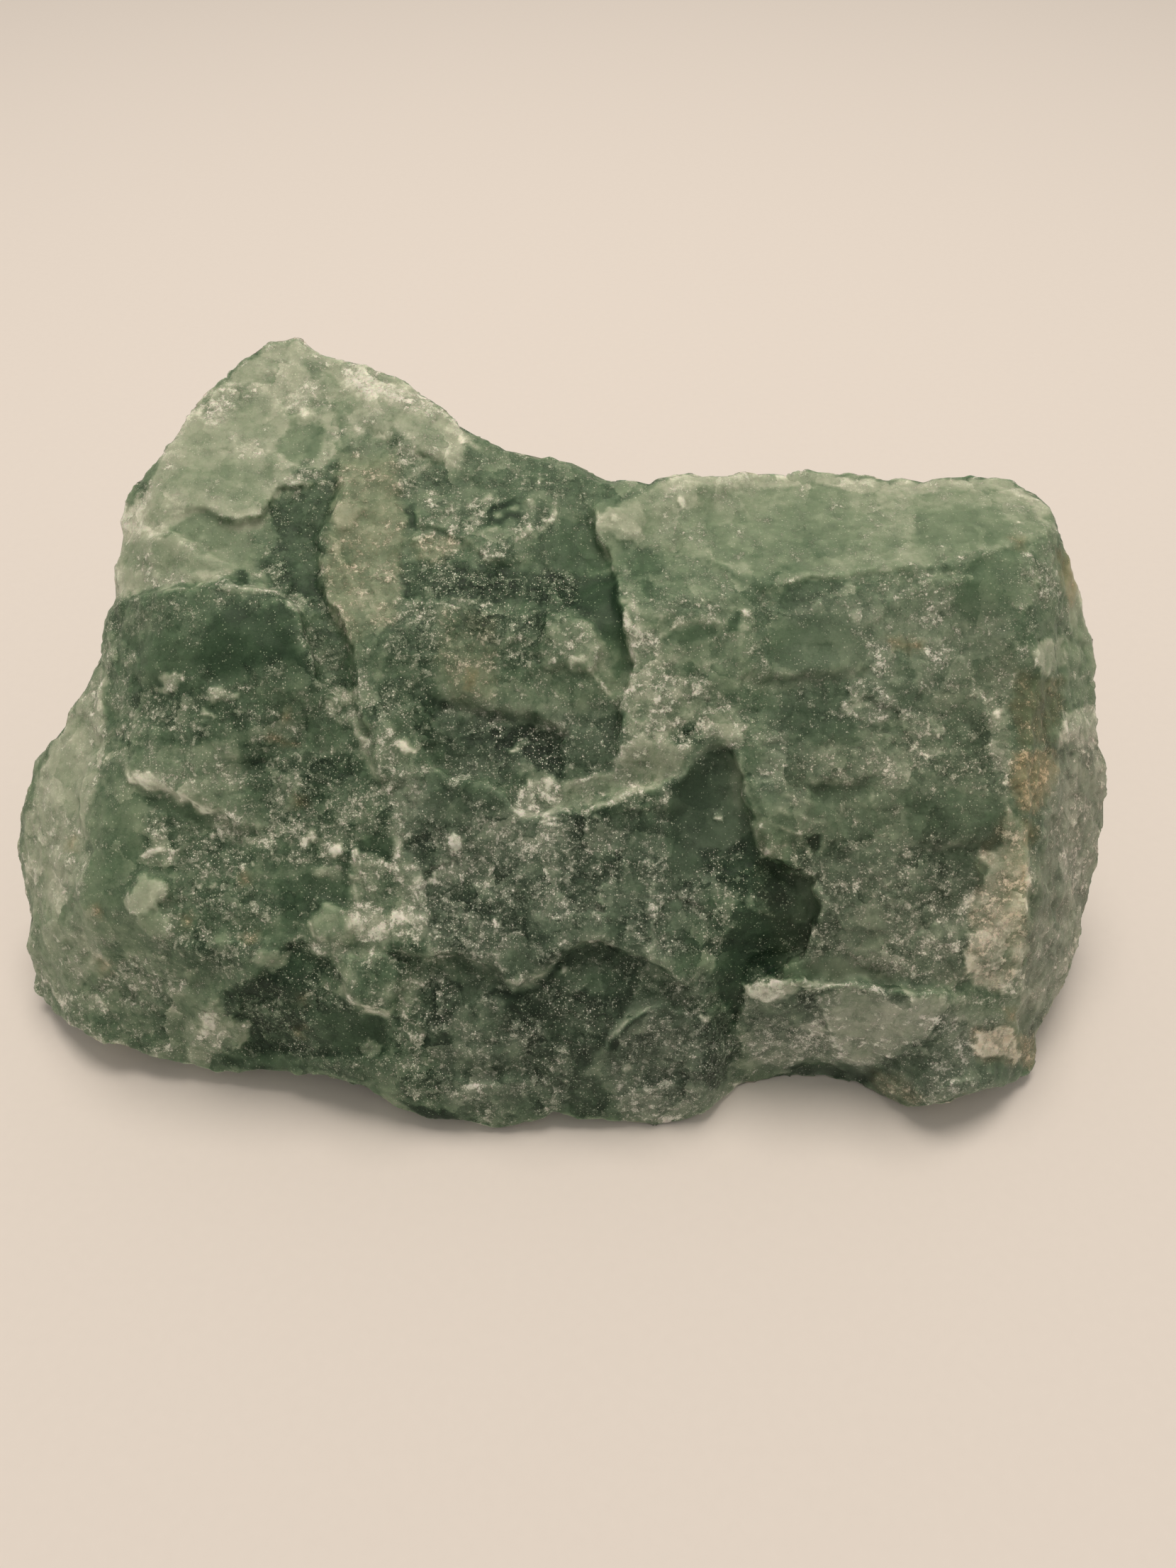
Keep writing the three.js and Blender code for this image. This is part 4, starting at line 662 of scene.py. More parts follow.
def cleave(points, size, seed, tilt, step):
    """Flat chips about size wide, each with its own lean and its own height."""
    places = points / size
    cells = np.floor(places)
    nearest = np.full(len(points), np.inf)
    height = np.zeros(len(points))
    for corner in itertools.product((-1, 0, 1), repeat=3):
        numbers = scattered(cells + corner, seed, 7)
        away = places - cells - corner - numbers[:, :3]
        distance = (away * away).sum(axis=1)
        lean = (away * (numbers[:, 3:6] * 2 - 1)).sum(axis=1) * tilt
        chip = lean + (numbers[:, 6] * 2 - 1) * step
        nearer = distance < nearest
        height = np.where(nearer, chip, height)
        nearest = np.minimum(nearest, distance)
    return height * size


def near_line(spots, start, end):
    """The distance of each spot from a straight piece of line."""
    along = end - start
    share = np.clip(((spots - start) @ along) / max(along @ along, 1e-9), 0, 1)
    return np.linalg.norm(spots - start - share[:, None] * along, axis=1)


def depth_inside(spots, outline):
    """How deep each spot lies inside a closed outline, less than 0 outside it."""
    edge = np.full(len(spots), np.inf)
    crossings = np.zeros(len(spots), int)
    for start, end in zip(outline, np.roll(outline, -1, axis=0)):
        edge = np.minimum(edge, near_line(spots, start, end))
        passes = (spots[:, 1] < start[1]) != (spots[:, 1] < end[1])
        rise = end[1] - start[1] if end[1] != start[1] else 1e-9
        at = start[0] + (spots[:, 1] - start[1]) / rise * (end[0] - start[0])
        crossings += passes & (spots[:, 0] < at)
    return np.where(crossings % 2 == 1, edge, -edge)


def near_box(spots, outline):
    """The numbers of the spots that lie in the outline's box, with a margin round it."""
    inside = (spots > outline.min(axis=0) - MARGIN) & (spots < outline.max(axis=0) + MARGIN)
    return np.flatnonzero(inside.all(axis=1))


def on_sketch(points):
    """Where each point shows on the flat sketch."""
    away = points - EYE
    scale = SIGHT_LENGTH / (away @ SIGHT)
    return np.stack([away[:, 0] * scale, (away @ SIGHT_UP) * scale], axis=1)


def facing_eye(points, normals, least=-0.05, most=0.18):
    """1 where the surface faces the eye and 0 where it turns away."""
    away = EYE - points
    facing = (away * normals).sum(axis=1) / np.linalg.norm(away, axis=1)
    return smooth_step(least, most, facing)


def wander(points, seed, bends):
    """How far a ragged border strays at each point, right and up on the sketch."""
    strayed = np.zeros((len(points), 2))
    for i, (size, reach) in enumerate(bends):
        strayed[:, 0] += reach * swell(points, size, seed + 2 * i)
        strayed[:, 1] += reach * swell(points, size, seed + 2 * i + 1)
    return strayed


def made_ragged(points):
    """The points, moved across the line of sight, so that the ledges follow the ragged borders."""
    moved = points
    scale = ((points - EYE) @ SIGHT / SIGHT_LENGTH)[:, None]
    for _ in range(2):
        right, up = wander(moved, BENDS_SEED, BENDS).T[:, :, None] * scale
        moved = points - right * SIGHT_RIGHT - up * SIGHT_UP
    return moved


def greatest_share(spots, regions, soft):
    """The greatest strength of the regions over each spot."""
    found = np.zeros(len(spots))
    for strength, outline in regions:
        near = near_box(spots, outline)
        share = smooth_step(-soft, soft, depth_inside(spots[near], outline))
        found[near] = np.maximum(found[near], strength * share)
    return found


def hidden_side(points):
    """Milkiness and crumb where the sketch doesn't reach: the back, sides and underside."""
    broad = swell(points, *BROAD)
    middle = swell(points, *MIDDLING)
    fine = swell(points, *FINE)
    bent = points + 1.2 * np.stack([fine, middle, broad], axis=1)
    plates = cleave(bent, PLATE_WIDTH, PLATE_SEED, 0, 1) / PLATE_WIDTH
    window = smooth_step(0.28, 0.42, swell(points, *WINDOWS) + 0.25 * fine)
    milk = PLAIN_MILK + 0.3 * broad + 0.2 * middle + 0.06 * fine + 0.12 * plates - 0.22 * window
    crumb = np.clip(PLAIN_CRUMB + 0.5 * swell(points, *CRUMBLING) - 0.4 * window, 0.05, 1)
    return milk, crumb


def drawn_looks(points, steady, ragged):
    """Milkiness, crumb and height as drawn, at each point and its steady and its ragged spot; the milkiness
    holds painted shade and painted light from some places and clouds.
    """
    milk = np.full(len(points), PLAIN_MILK)
    crumb = np.full(len(points), PLAIN_CRUMB)
    lift = np.zeros(len(points))
    # Some places paint shade under overhangs and along the foot, and two paint glints, as listed above the
    # table
    for level, crumbs, height, soft, outline in PLACES:
        near = near_box(ragged, outline)
        depth = depth_inside(ragged[near], outline)
        milk[near] += (level - milk[near]) * smooth_step(-soft / 2, soft / 2, depth)
        crumb[near] += (crumbs - crumb[near]) * smooth_step(-0.7, 0.9, depth)
        if height:
            lift[near] += height * smooth_step(-0.15, 0.2, depth)
    # Lines paint bright scratches and rims, and the painted glints
    for level, width, height, line in LINES:
        near = near_box(steady, line)
        away = np.full(len(near), np.inf)
        for start, end in zip(line[:-1], line[1:]):
            away = np.minimum(away, near_line(steady[near], start, end))
        broken = smooth_step(-0.35, 0.15, swell(points[near], *LINE_BREAKS))
        share = np.exp(-((away / width) ** 2)) * (0.3 + 0.7 * broken)
        milk[near] += (level - milk[near]) * share
        lift[near] += height * share
    for right, up, radius, level, height in DABS:
        away = np.hypot(ragged[:, 0] - right, ragged[:, 1] - up) / radius
        share = 1 - smooth_step(0.75, 1.15, away)
        milk += (level - milk) * share
        lift += height * share
    # Clouds of tone, with painted shade along the foot and in the cave, and painted light over ledge
    # shadows
    for right, up, wide, high, change in CLOUDS_AND_PAINTED_SHADE:
        away = np.hypot((ragged[:, 0] - right) / wide, (ragged[:, 1] - up) / high)
        milk += change * (1 - smooth_step(0.4, 1.3, away))
    return milk, crumb, lift


def surface_looks(points, normals):
    """How milky, crumbly, stained, grey and raised the stone is at each point, in millimetres; the
    milkiness and the greys hold some painted shade and light.
    """
    spots = on_sketch(points)
    front = facing_eye(points, normals)
    strayed = wander(points, BENDS_SEED, BENDS)
    ragged = spots + strayed + wander(points, FINE_BENDS_SEED, FINE_BENDS)
    milk, crumb, lift = drawn_looks(points, spots + strayed * 0.5, ragged)
    other_milk, other_crumb = hidden_side(points)
    vein = 1 - np.abs(swell(points, *VEINS) + 0.35 * swell(points, *VEIN_BENDS)) / 0.11
    stain = greatest_share(ragged, STAINS, 0.6) * front
    stain += (1 - front) * 0.75 * np.clip(vein, 0, 1)
    return {
        "milk": other_milk + (milk - other_milk) * front,
        "crumb": other_crumb + (crumb - other_crumb) * front,
        "stain": stain,
        # Dust greys the green, and painted shade greys the cave
        "grey": greatest_share(spots, DUST_AND_SHADE_GREYS, 1.5) * front + (1 - front) * 0.4,
        "lift": lift * front,
        "front": front,
    }


def relaxed(points, edges, times, share=0.6):
    """Every point moved by a share of the way to the middle of its neighbours, so many times."""
    points = points.copy()
    first, second = edges.T
    count = np.bincount(edges.ravel(), minlength=len(points))
    for _ in range(times):
        for axis in range(3):
            column = points[:, axis]
            total = np.bincount(first, column[second], len(points))
            total += np.bincount(second, column[first], len(points))
            points[:, axis] += share * (total / count - column)
    return points


def read_rows(rows, name, width, kind):
    """One property of all the mesh's vertices or edges, as an array."""
    flat = np.empty(len(rows) * width, kind)
    rows.foreach_get(name, flat)
    return flat.reshape(-1, width)


def read_points(mesh):
    """The mesh's vertices, in millimetres."""
    return read_rows(mesh.vertices, "co", 3, np.float32).astype(float) / MM


def write_points(mesh, points):
    """Puts points in millimetres into the mesh."""
    mesh.vertices.foreach_set("co", (points * MM).astype(np.float32).ravel())
    mesh.update()


def read_normals(mesh):
    """The direction that each vertex faces."""
    return read_rows(mesh.vertex_normals, "vector", 3, np.float32).astype(float)


def read_edges(mesh):
    """The two vertices of each edge."""
    return read_rows(mesh.edges, "vertices", 2, np.int32)


def through_modifier(piece, name, kind, settings):
    """Runs one modifier on a piece and keeps its result as the piece's mesh."""
    modifier = piece.modifiers.new(name, kind)
    for key, value in settings.items():
        setattr(modifier, key, value)
    graph = bpy.context.evaluated_depsgraph_get()
    made = bpy.data.meshes.new_from_object(piece.evaluated_get(graph))
    piece.modifiers.clear()
    old, piece.data = piece.data, made
    bpy.data.meshes.remove(old)
    made.name = piece.name


def broken_height(points, rough):
    """How far the chips, crumbs and swells stand out at each point, in millimetres."""
    sway = np.stack([swell(points, CHIP_BEND, seed) for seed in CHIP_BEND_SEEDS], axis=1)
    bent = points + 0.5 * sway
    height = np.zeros(len(points))
    for i, (size, tilt, step) in enumerate(CHIPS):
        height += rough * cleave(bent, size, CHIPS_SEED + i, tilt, step)
    height += 0.07 * swell(points, *ROLLS) + 0.04 * rough * swell(points, *CRUMBS)
    return height - height.mean()


def break_surface(mesh, amount):
    """Gives the smooth copy its chips, ledges and crumbs."""
    edges = read_edges(mesh)
    points = relaxed(read_points(mesh), edges, 2)
    above = smooth_step(*FOOT, points[:, 2])
    points += (made_ragged(points) - points) * above[:, None]
    write_points(mesh, points)
    normals = read_normals(mesh)
    looks = surface_looks(points, normals)
    height = broken_height(points, 0.2 + 0.8 * np.clip(looks["crumb"], 0, 1))
    under = smooth_step(0.2, 0.8, -normals[:, 2]) * (1 - above)
    pits = -0.5 * smooth_step(0.1, 0.5, swell(points, *PITS)) * under
    towards = EYE - points
    towards /= np.linalg.norm(towards, axis=1)[:, None]
    moved = points + normals * (amount * height * above + pits)[:, None]
    moved += towards * (looks["lift"] * above)[:, None]
    write_points(mesh, relaxed(moved, edges, 1, share=0.25))


def thin_out(chunk, most_faces):
    """Takes faces away, more of them where the stone turns away from the eye, and evens those out."""
    points, normals = read_points(chunk.data), read_normals(chunk.data)
    away = facing_eye(points, normals) < 0.5
    group = chunk.vertex_groups.new(name="turned away")
    group.add(np.flatnonzero(away).tolist(), 1.0, "REPLACE")
    group.add(np.flatnonzero(~away).tolist(), 0.3, "REPLACE")
    chunk.data.calc_loop_triangles()
    share = most_faces / len(chunk.data.loop_triangles)
    settings = {
        "ratio": share,
        "use_collapse_triangulate": True,
        "vertex_group": group.name,
        "vertex_group_factor": 1.0,
    }
    if share < 1:
        through_modifier(chunk, "fewer faces", "DECIMATE", settings)
    chunk.vertex_groups.clear()
    points, normals = read_points(chunk.data), read_normals(chunk.data)
    eased = relaxed(points, read_edges(chunk.data), 2)
    away = facing_eye(points, -normals, 0.3, 0.6)[:, None]
    write_points(chunk.data, points + (eased - points) * away)


def fit_box(mesh):
    """Scales the mesh by a hair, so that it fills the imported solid's box and no more."""
    low, high = (np.array(corner) / MM for corner in CAD_BOX)
    points = read_points(mesh)
    least, most = points.min(axis=0), points.max(axis=0)
    write_points(mesh, low + (points - least) / (most - least) * (high - low))


def thinness(mesh, points, normals):
    """Near 1 where the stone is thin behind the surface and near 0 where it is thick."""
    faces = [tuple(face.vertices) for face in mesh.polygons]
    tree = BVHTree.FromPolygons([Vector(point) for point in points], faces)
    through = np.empty(len(points))
    for i, (point, normal) in enumerate(zip(points, normals)):
        inward = Vector(-normal)
        hit = tree.ray_cast(Vector(point) + inward * 0.3, inward)
        through[i] = hit[3] if hit[3] is not None else GREATEST_DEPTH
    return np.exp(-through / LIGHT_DEPTH)


def record_looks(mesh):
    """Writes the numbers that the finish reads on to the final mesh."""
    points, normals, edges = read_points(mesh), read_normals(mesh), read_edges(mesh)
    looks = surface_looks(points, normals)
    # How far each point stands out of the surface round it, above 0 on rims and below 0 in hollows and
    # creases
    near = ((points - relaxed(points, edges, 3)) * normals).sum(axis=1)
    wide = ((points - relaxed(points, edges, 14)) * normals).sum(axis=1)
    edge = np.clip(near / 0.1, -1, 1) * 0.5 + np.clip(wide / 0.35, -1, 1) * 0.5
    thin = np.repeat(thinness(mesh, points, normals)[:, None], 3, axis=1)
    thin = relaxed(thin, edges, 6)[:, 0]
    broken = smooth_step(-0.4, 0.3, swell(points, *RIM_WEAR_AND_CREASE_SHADE))
    # Rims whiten with wear in broken patches, and hollows and creases get painted shade, a little darker
    milk = looks["milk"] + 0.18 * np.clip(edge, -0.25, 1) * (0.25 + 0.75 * broken)
    # Painted glow on the hidden sides: where the stone is thin, it is made paler, as light shining through
    # it would make it
    milk += (1 - looks["front"]) * 0.3 * thin
    kept = {
        "milk": np.clip(milk, 0, 1),
        "crumb": np.clip(looks["crumb"] + 0.25 * np.clip(edge, 0, 1), 0, 1),
        "stain": np.clip(looks["stain"], 0, 1),
        "grey": looks["grey"],
    }
    for name, values in kept.items():
        numbers = mesh.attributes.new(name, "FLOAT", "POINT")
        numbers.data.foreach_set("value", np.asarray(values, np.float32))


class Value:
    """A socket that takes part in plain arithmetic."""

    def __init__(self, finish, socket):
        self.finish = finish
        self.socket = socket

    def math(self, operation, first, second):
        """One step of arithmetic."""
        return self.finish.node("ShaderNodeMath", {"operation": operation}, {0: first, 1: second})

    def __add__(self, other):
        return self.math("ADD", self, other)

    def __sub__(self, other):
        return self.math("SUBTRACT", self, other)

    def __rsub__(self, other):
        return self.math("SUBTRACT", other, self)

    def __mul__(self, other):
        return self.math("MULTIPLY", self, other)

    __radd__ = __add__
    __rmul__ = __mul__

    def ramp(self, low, high):
        """0 below low, 1 above high and an even curve in between."""
        return self.finish.node(
            "ShaderNodeMapRange",
            {"interpolation_type": "SMOOTHSTEP"},
            {"Value": self, "From Min": low, "From Max": high},
        )

    def held(self):
        """The value, kept from 0 to 1."""
        return self.finish.node(
            "ShaderNodeMath", {"operation": "ADD", "use_clamp": True}, {0: self, 1: 0.0}
        )


class Finish:
    """A material while it is being written."""

    def __init__(self, name):
        self.material = bpy.data.materials.new(name)
        self.material.use_nodes = True
        self.tree = self.material.node_tree
        self.tree.nodes.clear()

    def node(self, kind, settings=None, sockets=None, output=0):
        """Adds a node: its type, its settings, its sockets' values or links, and the output to use."""
        made = self.tree.nodes.new(kind)
        made.location = (220 * (len(self.tree.nodes) % 12), -260 * (len(self.tree.nodes) // 12))
        for name, value in (settings or {}).items():
            if name == "stops":
                self.set_stops(made.color_ramp, value)
            else:
                setattr(made, name, value)
        for name, value in (sockets or {}).items():
            if isinstance(value, Value):
                self.tree.links.new(value.socket, made.inputs[name])
            else:
                made.inputs[name].default_value = value
        return Value(self, made.outputs[output]) if made.outputs else made

    def set_stops(self, ramp, colours):
        """Gives a colour ramp these colours, at even steps from 0 to 1."""
        ramp.interpolation = "LINEAR"
        while len(ramp.elements) < len(colours):
            ramp.elements.new(1.0)
        for i, (element, tint) in enumerate(zip(ramp.elements, colours)):
            element.position = i / (len(colours) - 1)
            element.color = (*tint, 1.0)

    def number(self, name):
        """A number kept on the mesh."""
        return self.node("ShaderNodeAttribute", {"attribute_name": name}, output="Fac")

    def vector(self, operation, first, second, socket=1, output=0):
        """One step of arithmetic on vectors."""
        return self.node(
            "ShaderNodeVectorMath", {"operation": operation}, {0: first, socket: second}, output
        )

    def scaled(self, vector, factor):
        """A vector made longer or shorter."""
        return self.vector("SCALE", vector, factor, "Scale")

    def noise(self, place, scale, detail=2.0, roughness=0.5, output=0):
        """Soft grain, from 0 to 1."""
        return self.node(
            "ShaderNodeTexNoise",
            None,
            {"Vector": place, "Scale": scale, "Detail": detail, "Roughness": roughness},
            output,
        )

    def cells(self, place, scale, output):
        """Cells about a seed each: the distance from it, its place or a colour of its own."""
        return self.node("ShaderNodeTexVoronoi", None, {"Vector": place, "Scale": scale}, output)

    def leans(self, place, scale):
        """A lean of its own for each chip."""
        return self.vector("SUBTRACT", self.cells(place, scale, "Color"), MIDDLE)

    def leaning(self, place, scale):
        """Chips that each fade from one side to the other, from about -1 to 1."""
        away = self.vector("SUBTRACT", place, self.cells(place, scale, "Position"))
        return self.vector("DOT_PRODUCT", self.leans(place, scale), away, output="Value") * (3 * scale)

    def specks(self, place, density, scale, radius, edge, rarity):
        """Round specks, more of them where the density is high."""
        distance = self.cells(place, scale, "Distance")
        drawn_tint = self.cells(place, scale, "Color")
        chance = self.node("ShaderNodeSeparateColor", None, {0: drawn_tint}, "Red")
        chosen = (chance + density * 0.35 - rarity).ramp(0.0, 0.08)
        return (radius - distance).ramp(0.0, edge) * chosen

    def blend(self, share, first, second, kind="MIX"):
        """Mixes two colours."""
        return self.node(
            "ShaderNodeMix",
            {"data_type": "RGBA", "blend_type": kind},
            {0: share, 6: first, 7: second},
            output=2,
        )


def colour(values):
    """Red, green and blue, with the fourth value that a colour socket needs."""
    return (*values, 1.0)


def stone_tint(stone, settings, level, fading):
    """The stone's colour from deep and clear to white, partly faded to grey."""
    names = ("deep", "clear", "green", "cloudy", "pale", "white")
    stops = [getattr(settings, name) for name in names]
    ramp = stone.node("ShaderNodeValToRGB", {"stops": stops}, {0: level})
    return stone.node("ShaderNodeHueSaturation", None, {"Saturation": 1.0 - fading, "Color": ramp})


def stone_finish(settings):
    """Cloudy green fluorite: deep clear windows, milky flaws, crumbs of frost and iron stain."""
    stone = Finish("fluorite")
    milk, crumb, stain, grey = (stone.number(name) for name in ("milk", "crumb", "stain", "grey"))

    # Places in millimetres: as they are, drawn out along the line of sight, and bent as well
    here = stone.scaled(stone.node("ShaderNodeTexCoord", output="Object"), 1 / MM)
    along = stone.vector("DOT_PRODUCT", here, tuple(SIGHT), output="Value")
    drawn_out = stone.vector("SUBTRACT", here, stone.scaled(tuple(SIGHT), along * 0.5))
    sway = stone.vector("SUBTRACT", stone.noise(here, *SWAYING, "Color"), MIDDLE)
    bent = stone.vector("ADD", drawn_out, stone.scaled(sway, 1.5))

    cloud = stone.noise(bent, *CLOUDY)
    clusters = stone.noise(drawn_out, *CLUSTERED)
    grains = stone.noise(bent, *GRAINY)
    haze = stone.noise(drawn_out, *HAZY)
    dust = stone.noise(here, *DUSTY)
    plates = stone.leaning(bent, PLATE_SCALE)
    chips = stone.leaning(bent, CHIP_SCALE)

    # White film, specks and painted glints, thick where the stone is crumbly
    density = (crumb * 0.9 + (clusters - 0.5) * 3.0 - 0.03).held()
    film = (grains - 0.6 + density * 0.135).ramp(0.0, 0.1) * density.ramp(0.0, 0.4)
    film = film * (0.3 + dust * 1.3)
    specks = stone.specks(here, density, *SPECKS)
    # Painted glints: small bright spots in the colour in place of reflected light
    glints = stone.specks(here, density, *GLINTS)
    white = (film + specks + glints).held()

    # How milky the stone is with all that, with painted glints among the white specks
    level = milk + (cloud - 0.5) * (0.24 + crumb * 0.35) + (dust - 0.5) * (0.1 + density * 0.3)
    level = level + plates * (0.03 + crumb * 0.13) + chips * (crumb * 0.09)
    level = level + (haze - 0.5) * (0.06 + crumb * 0.38)
    level = level + film * (0.23 + 0.15 * density) - density * 0.09
    gap = (0.95 - milk).held()
    level = level + gap * (specks * (0.5 + density * 0.35) + glints * (0.55 + density * 0.45))

    tint = stone_tint(stone, settings, level, grey * 0.42 + film * 0.08 + density * 0.15)
    mottle = (cloud + clusters + grains - 1.5) * stain.ramp(0.0, 0.4)
    rust = (stain + mottle * 0.8).held() * (0.8 + 0.2 * white)
    tint = stone.blend(rust * 0.8, tint, colour(settings.rust), "MULTIPLY")
    tint = stone.blend(rust * 0.25, tint, colour(settings.sand))

    # Small facets and relief
    normal = stone.node("ShaderNodeNewGeometry", output="Normal")
    lean = stone.scaled(stone.leans(bent, FACET_SCALE), 0.04 + crumb * 0.15)
    facet = stone.vector("NORMALIZE", stone.vector("ADD", normal, lean), (0, 0, 0))
    height = film.held() * 0.05 + grains * 0.06 + dust * 0.02 + plates * 0.06 + chips * 0.03
    bump = stone.node(
        "ShaderNodeBump", None, {"Strength": 0.8, "Distance": MM, "Height": height, "Normal": facet}
    )
    shader = stone.node(
        "ShaderNodeBsdfPrincipled",
        {"subsurface_method": "RANDOM_WALK"},
        {
            "Base Color": tint,
            "Roughness": 0.42 + white * 0.3 + (level * 0.12),
            "Normal": bump,
            "IOR": INDEX,
            "Specular IOR Level": settings.shine,
            "Subsurface Weight": settings.glow,
            "Subsurface Radius": GLOW_SPREAD,
            "Subsurface Scale": settings.glow_depth,
        },
    )
    stone.node("ShaderNodeOutputMaterial", None, {"Surface": shader})
    return stone.material


def floor_finish(settings):
    """Pale matt paper."""
    paper = Finish("stage_floor")
    mottle = paper.noise(paper.node("ShaderNodeTexCoord", output="Object"), 900.0, 3.0)
    darker = [0.97 * part for part in settings.floor]
    tint = paper.blend(mottle, colour(settings.floor), colour(darker))
    shader = paper.node("ShaderNodeBsdfPrincipled", None, {"Base Color": tint, "Roughness": 0.9})
    paper.node("ShaderNodeOutputMaterial", None, {"Surface": shader})
    return paper.material


def tone(name, description, default):
    """A setting that is a colour."""
    return bpy.props.FloatVectorProperty(
        name=name, description=description, default=default, size=3,
        min=0.0, max=1.0, subtype="COLOR",
    )


class StoneSettings(bpy.types.PropertyGroup):
    mesh_step: bpy.props.FloatProperty(
        name="Mesh step",
        description="Width of the small faces that the broken surface is cut from",
        default=0.00035, min=0.0002, max=0.002, precision=5, unit="LENGTH",
    )
    most_faces: bpy.props.IntProperty(
        name="Most triangles", description="Triangles kept in the finished mesh",
        default=196000, min=20000, max=198000,
    )
    breakage: bpy.props.FloatProperty(
        name="Breakage", description="How strongly the chips and crumbs stand out",
        default=1.0, min=0.0, max=3.0, subtype="FACTOR",
    )
    deep: tone("Deep", "The darkest clear stone", (0.012, 0.034, 0.0172))
    clear: tone("Clear", "Dark clear stone", (0.036, 0.076, 0.0408))
    green: tone("Green", "Plain green stone", (0.1, 0.17, 0.0985))
    cloudy: tone("Cloudy", "Green stone with milky flaws", (0.221, 0.3, 0.194))
    pale: tone("Pale", "Pale milky stone", (0.425, 0.48, 0.358))
    white: tone("White", "Crushed white stone", (0.865, 0.905, 0.75))
    rust: tone("Rust", "Iron stain, seen through", (0.95, 0.72, 0.5))
    sand: tone("Sand", "Iron stain, lying on top", (0.42, 0.33, 0.21))
    shine: bpy.props.FloatProperty(
        name="Shine", description="How strongly the broken faces gleam, against a polished face at 0.5",
        default=0.22, min=0.0, max=1.0, subtype="FACTOR",
    )
    glow: bpy.props.FloatProperty(
        name="Glow", description="Share of the light that goes into the stone and out again",
        default=0.5, min=0.0, max=1.0, subtype="FACTOR",
    )
    glow_depth: bpy.props.FloatProperty(
        name="Glow depth", description="How far that light travels inside",
        default=0.0013, min=0.0, max=0.02, precision=4, unit="LENGTH",
    )


class StageSettings(bpy.types.PropertyGroup):
    floor: tone("Floor", "Colour of the floor", (0.8, 0.775, 0.745))
    floor_width: bpy.props.FloatProperty(
        name="Floor width", description="Width of the square floor",
        default=6.0, min=0.5, unit="LENGTH",
    )
    lamp: tone("Lamp", "Colour of the main light", (1.0, 0.87, 0.75))
    lamp_power: bpy.props.FloatProperty(
        name="Lamp power", description="Power of the main light", default=4.1, min=0.0, unit="POWER"
    )
    lamp_width: bpy.props.FloatProperty(
        name="Lamp width", description="Width of the main light", default=0.45, min=0.01, unit="LENGTH"
    )
    lamp_place: bpy.props.FloatVectorProperty(
        name="Lamp place", description="Middle of the main light",
        default=(0.0, 0.14, 0.8), size=3, subtype="TRANSLATION",
    )
    room: tone("Room", "Colour of the light from all round", (1.0, 0.9, 0.8))
    room_light: bpy.props.FloatProperty(
        name="Room light", description="Strength of the light from all round", default=0.43, min=0.0
    )
    lens: bpy.props.FloatProperty(
        name="Lens", description="Focal length of the camera", default=29.13, min=5.0, unit="CAMERA"
    )


class FLUORITE_OT_chunk(bpy.types.Operator):
    """Build the broken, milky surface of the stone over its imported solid"""

    bl_idname = "fluorite.build_chunk"
    bl_label = "Build chunk"

    def execute(self, context):
        settings = context.scene.fluorite_stone
        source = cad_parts.get(NODE)
        if source is None:
            raise RuntimeError(f"the packed model has no node named {NODE}")
        chunk = bpy.data.objects.new("fluorite_chunk", source.data.copy())
        context.scene.collection.objects.link(chunk)
        through_modifier(
            chunk, "even faces", "REMESH", {"mode": "VOXEL", "voxel_size": settings.mesh_step}
        )
        break_surface(chunk.data, settings.breakage)
        thin_out(chunk, settings.most_faces)
        fit_box(chunk.data)
        record_looks(chunk.data)
        chunk.data.shade_smooth()
        chunk.data.materials.clear()
        chunk.data.materials.append(stone_finish(settings))
        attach(chunk, "root")
        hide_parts(NODE)
        return {"FINISHED"}


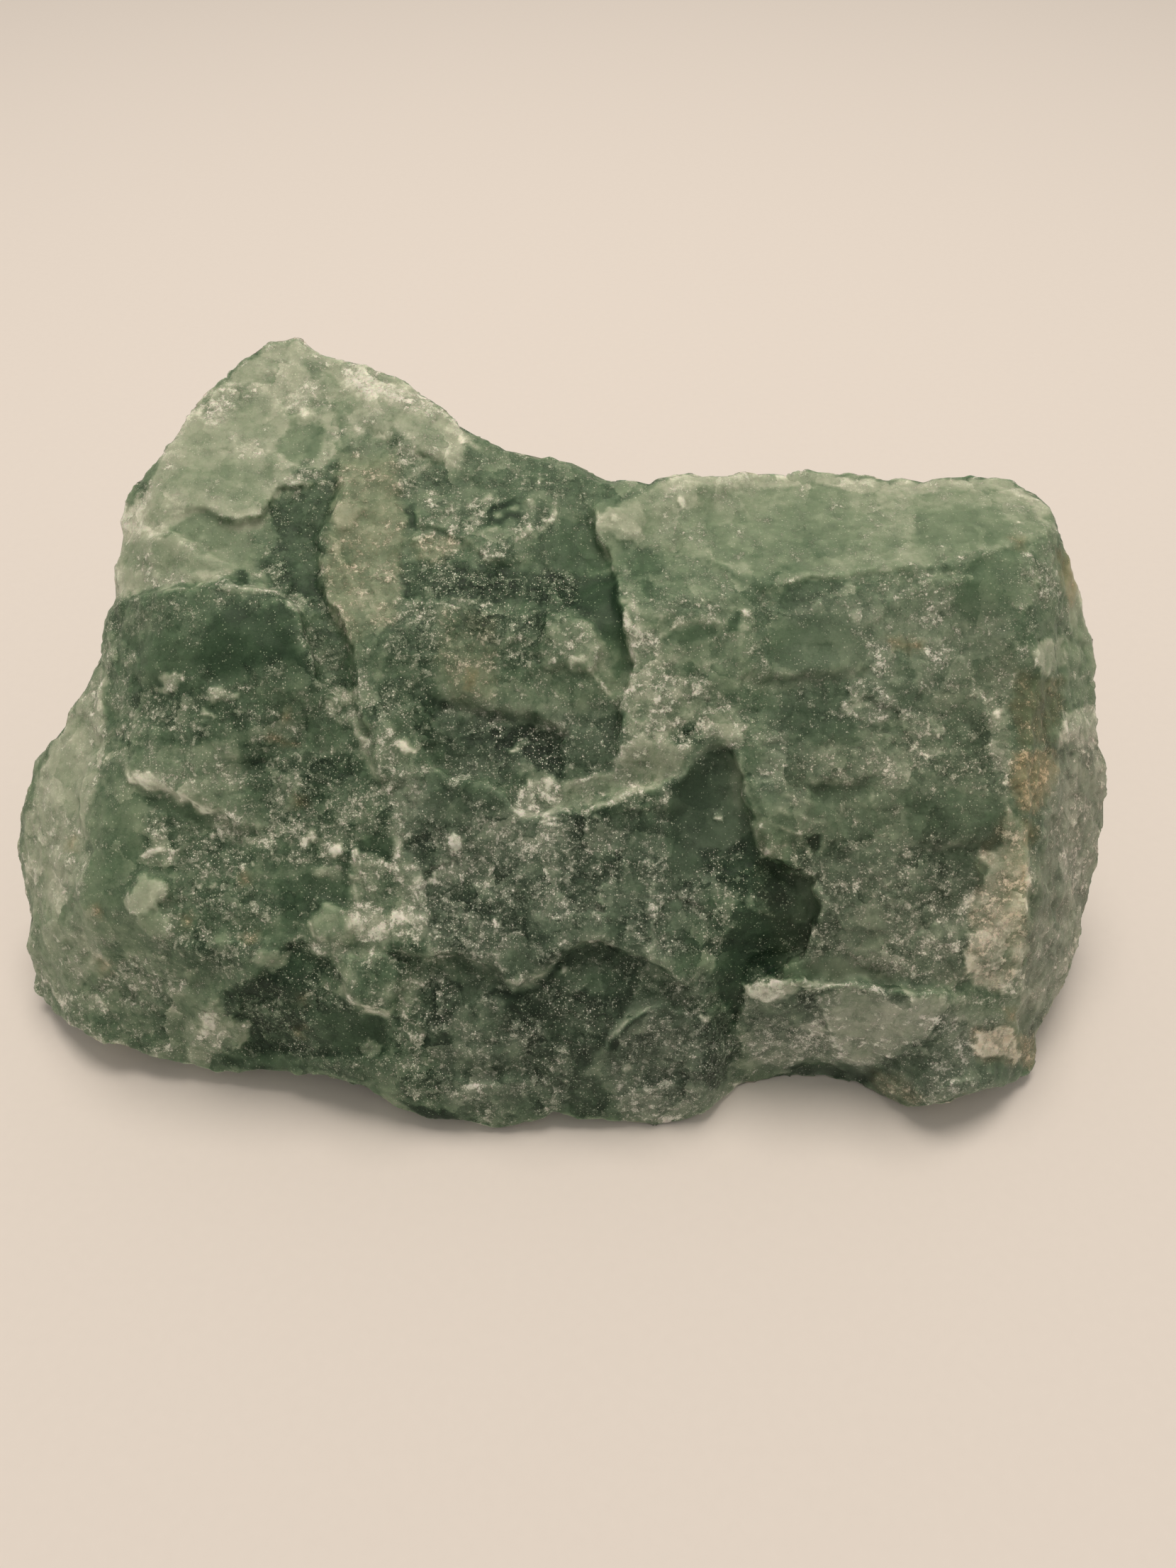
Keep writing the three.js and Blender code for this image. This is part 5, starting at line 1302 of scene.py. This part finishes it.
class FLUORITE_OT_stage(bpy.types.Operator):
    """Lay the floor, hang the soft light and set the camera"""

    bl_idname = "fluorite.build_stage"
    bl_label = "Build stage"

    def execute(self, context):
        settings = context.scene.fluorite_stage
        half = settings.floor_width / 2
        mesh = bpy.data.meshes.new("stage_floor")
        mesh.from_pydata(
            [(-half, -half, 0), (half, -half, 0), (half, half, 0), (-half, half, 0)], [], [(0, 1, 2, 3)]
        )
        mesh.materials.append(floor_finish(settings))
        floor = bpy.data.objects.new("stage_floor", mesh)
        context.scene.collection.objects.link(floor)
        light = bpy.data.lights.new("soft_light", "AREA")
        light.shape = "DISK"
        light.size = settings.lamp_width
        light.energy = settings.lamp_power
        light.color = settings.lamp
        lamp = bpy.data.objects.new("soft_light", light)
        lamp.location = settings.lamp_place
        lamp.rotation_euler = (-Vector(settings.lamp_place)).to_track_quat("-Z", "Y").to_euler()
        context.scene.collection.objects.link(lamp)
        room = bpy.data.worlds.new("room")
        room.use_nodes = True
        background = room.node_tree.nodes["Background"]
        background.inputs["Color"].default_value = colour(settings.room)
        background.inputs["Strength"].default_value = settings.room_light
        context.scene.world = room
        view = bpy.data.cameras.new("view")
        view.lens = settings.lens
        view.sensor_width = SENSOR_WIDTH
        view.clip_start, view.clip_end = CLIP
        camera = bpy.data.objects.new("view", view)
        camera.location = EYE * MM
        camera.rotation_euler = (math.pi / 2 - SIGHT_DROP, 0.0, 0.0)
        context.scene.collection.objects.link(camera)
        context.scene.camera = camera
        context.scene.view_settings.view_transform = "Standard"
        return {"FINISHED"}


class FLUORITE_PT_panel(bpy.types.Panel):
    """The stone's pieces and settings"""

    bl_idname = "FLUORITE_PT_panel"
    bl_label = "Fluorite chunk"
    bl_space_type = "VIEW_3D"
    bl_region_type = "UI"
    bl_category = "Fluorite"

    def draw(self, context):
        for operator, group in (
            (FLUORITE_OT_chunk, context.scene.fluorite_stone),
            (FLUORITE_OT_stage, context.scene.fluorite_stage),
        ):
            box = self.layout.box()
            box.operator(operator.bl_idname)
            for name in group.__annotations__:
                box.prop(group, name)


CLASSES = (StoneSettings, StageSettings, FLUORITE_OT_chunk, FLUORITE_OT_stage, FLUORITE_PT_panel)


def register():
    for kind in CLASSES:
        bpy.utils.register_class(kind)
    bpy.types.Scene.fluorite_stone = bpy.props.PointerProperty(type=StoneSettings)
    bpy.types.Scene.fluorite_stage = bpy.props.PointerProperty(type=StageSettings)


def unregister():
    del bpy.types.Scene.fluorite_stage
    del bpy.types.Scene.fluorite_stone
    for kind in reversed(CLASSES):
        bpy.utils.unregister_class(kind)


def main():
    register()
    bpy.ops.fluorite.build_stage()
    bpy.ops.fluorite.build_chunk()


if __name__ == "__main__":
    main()
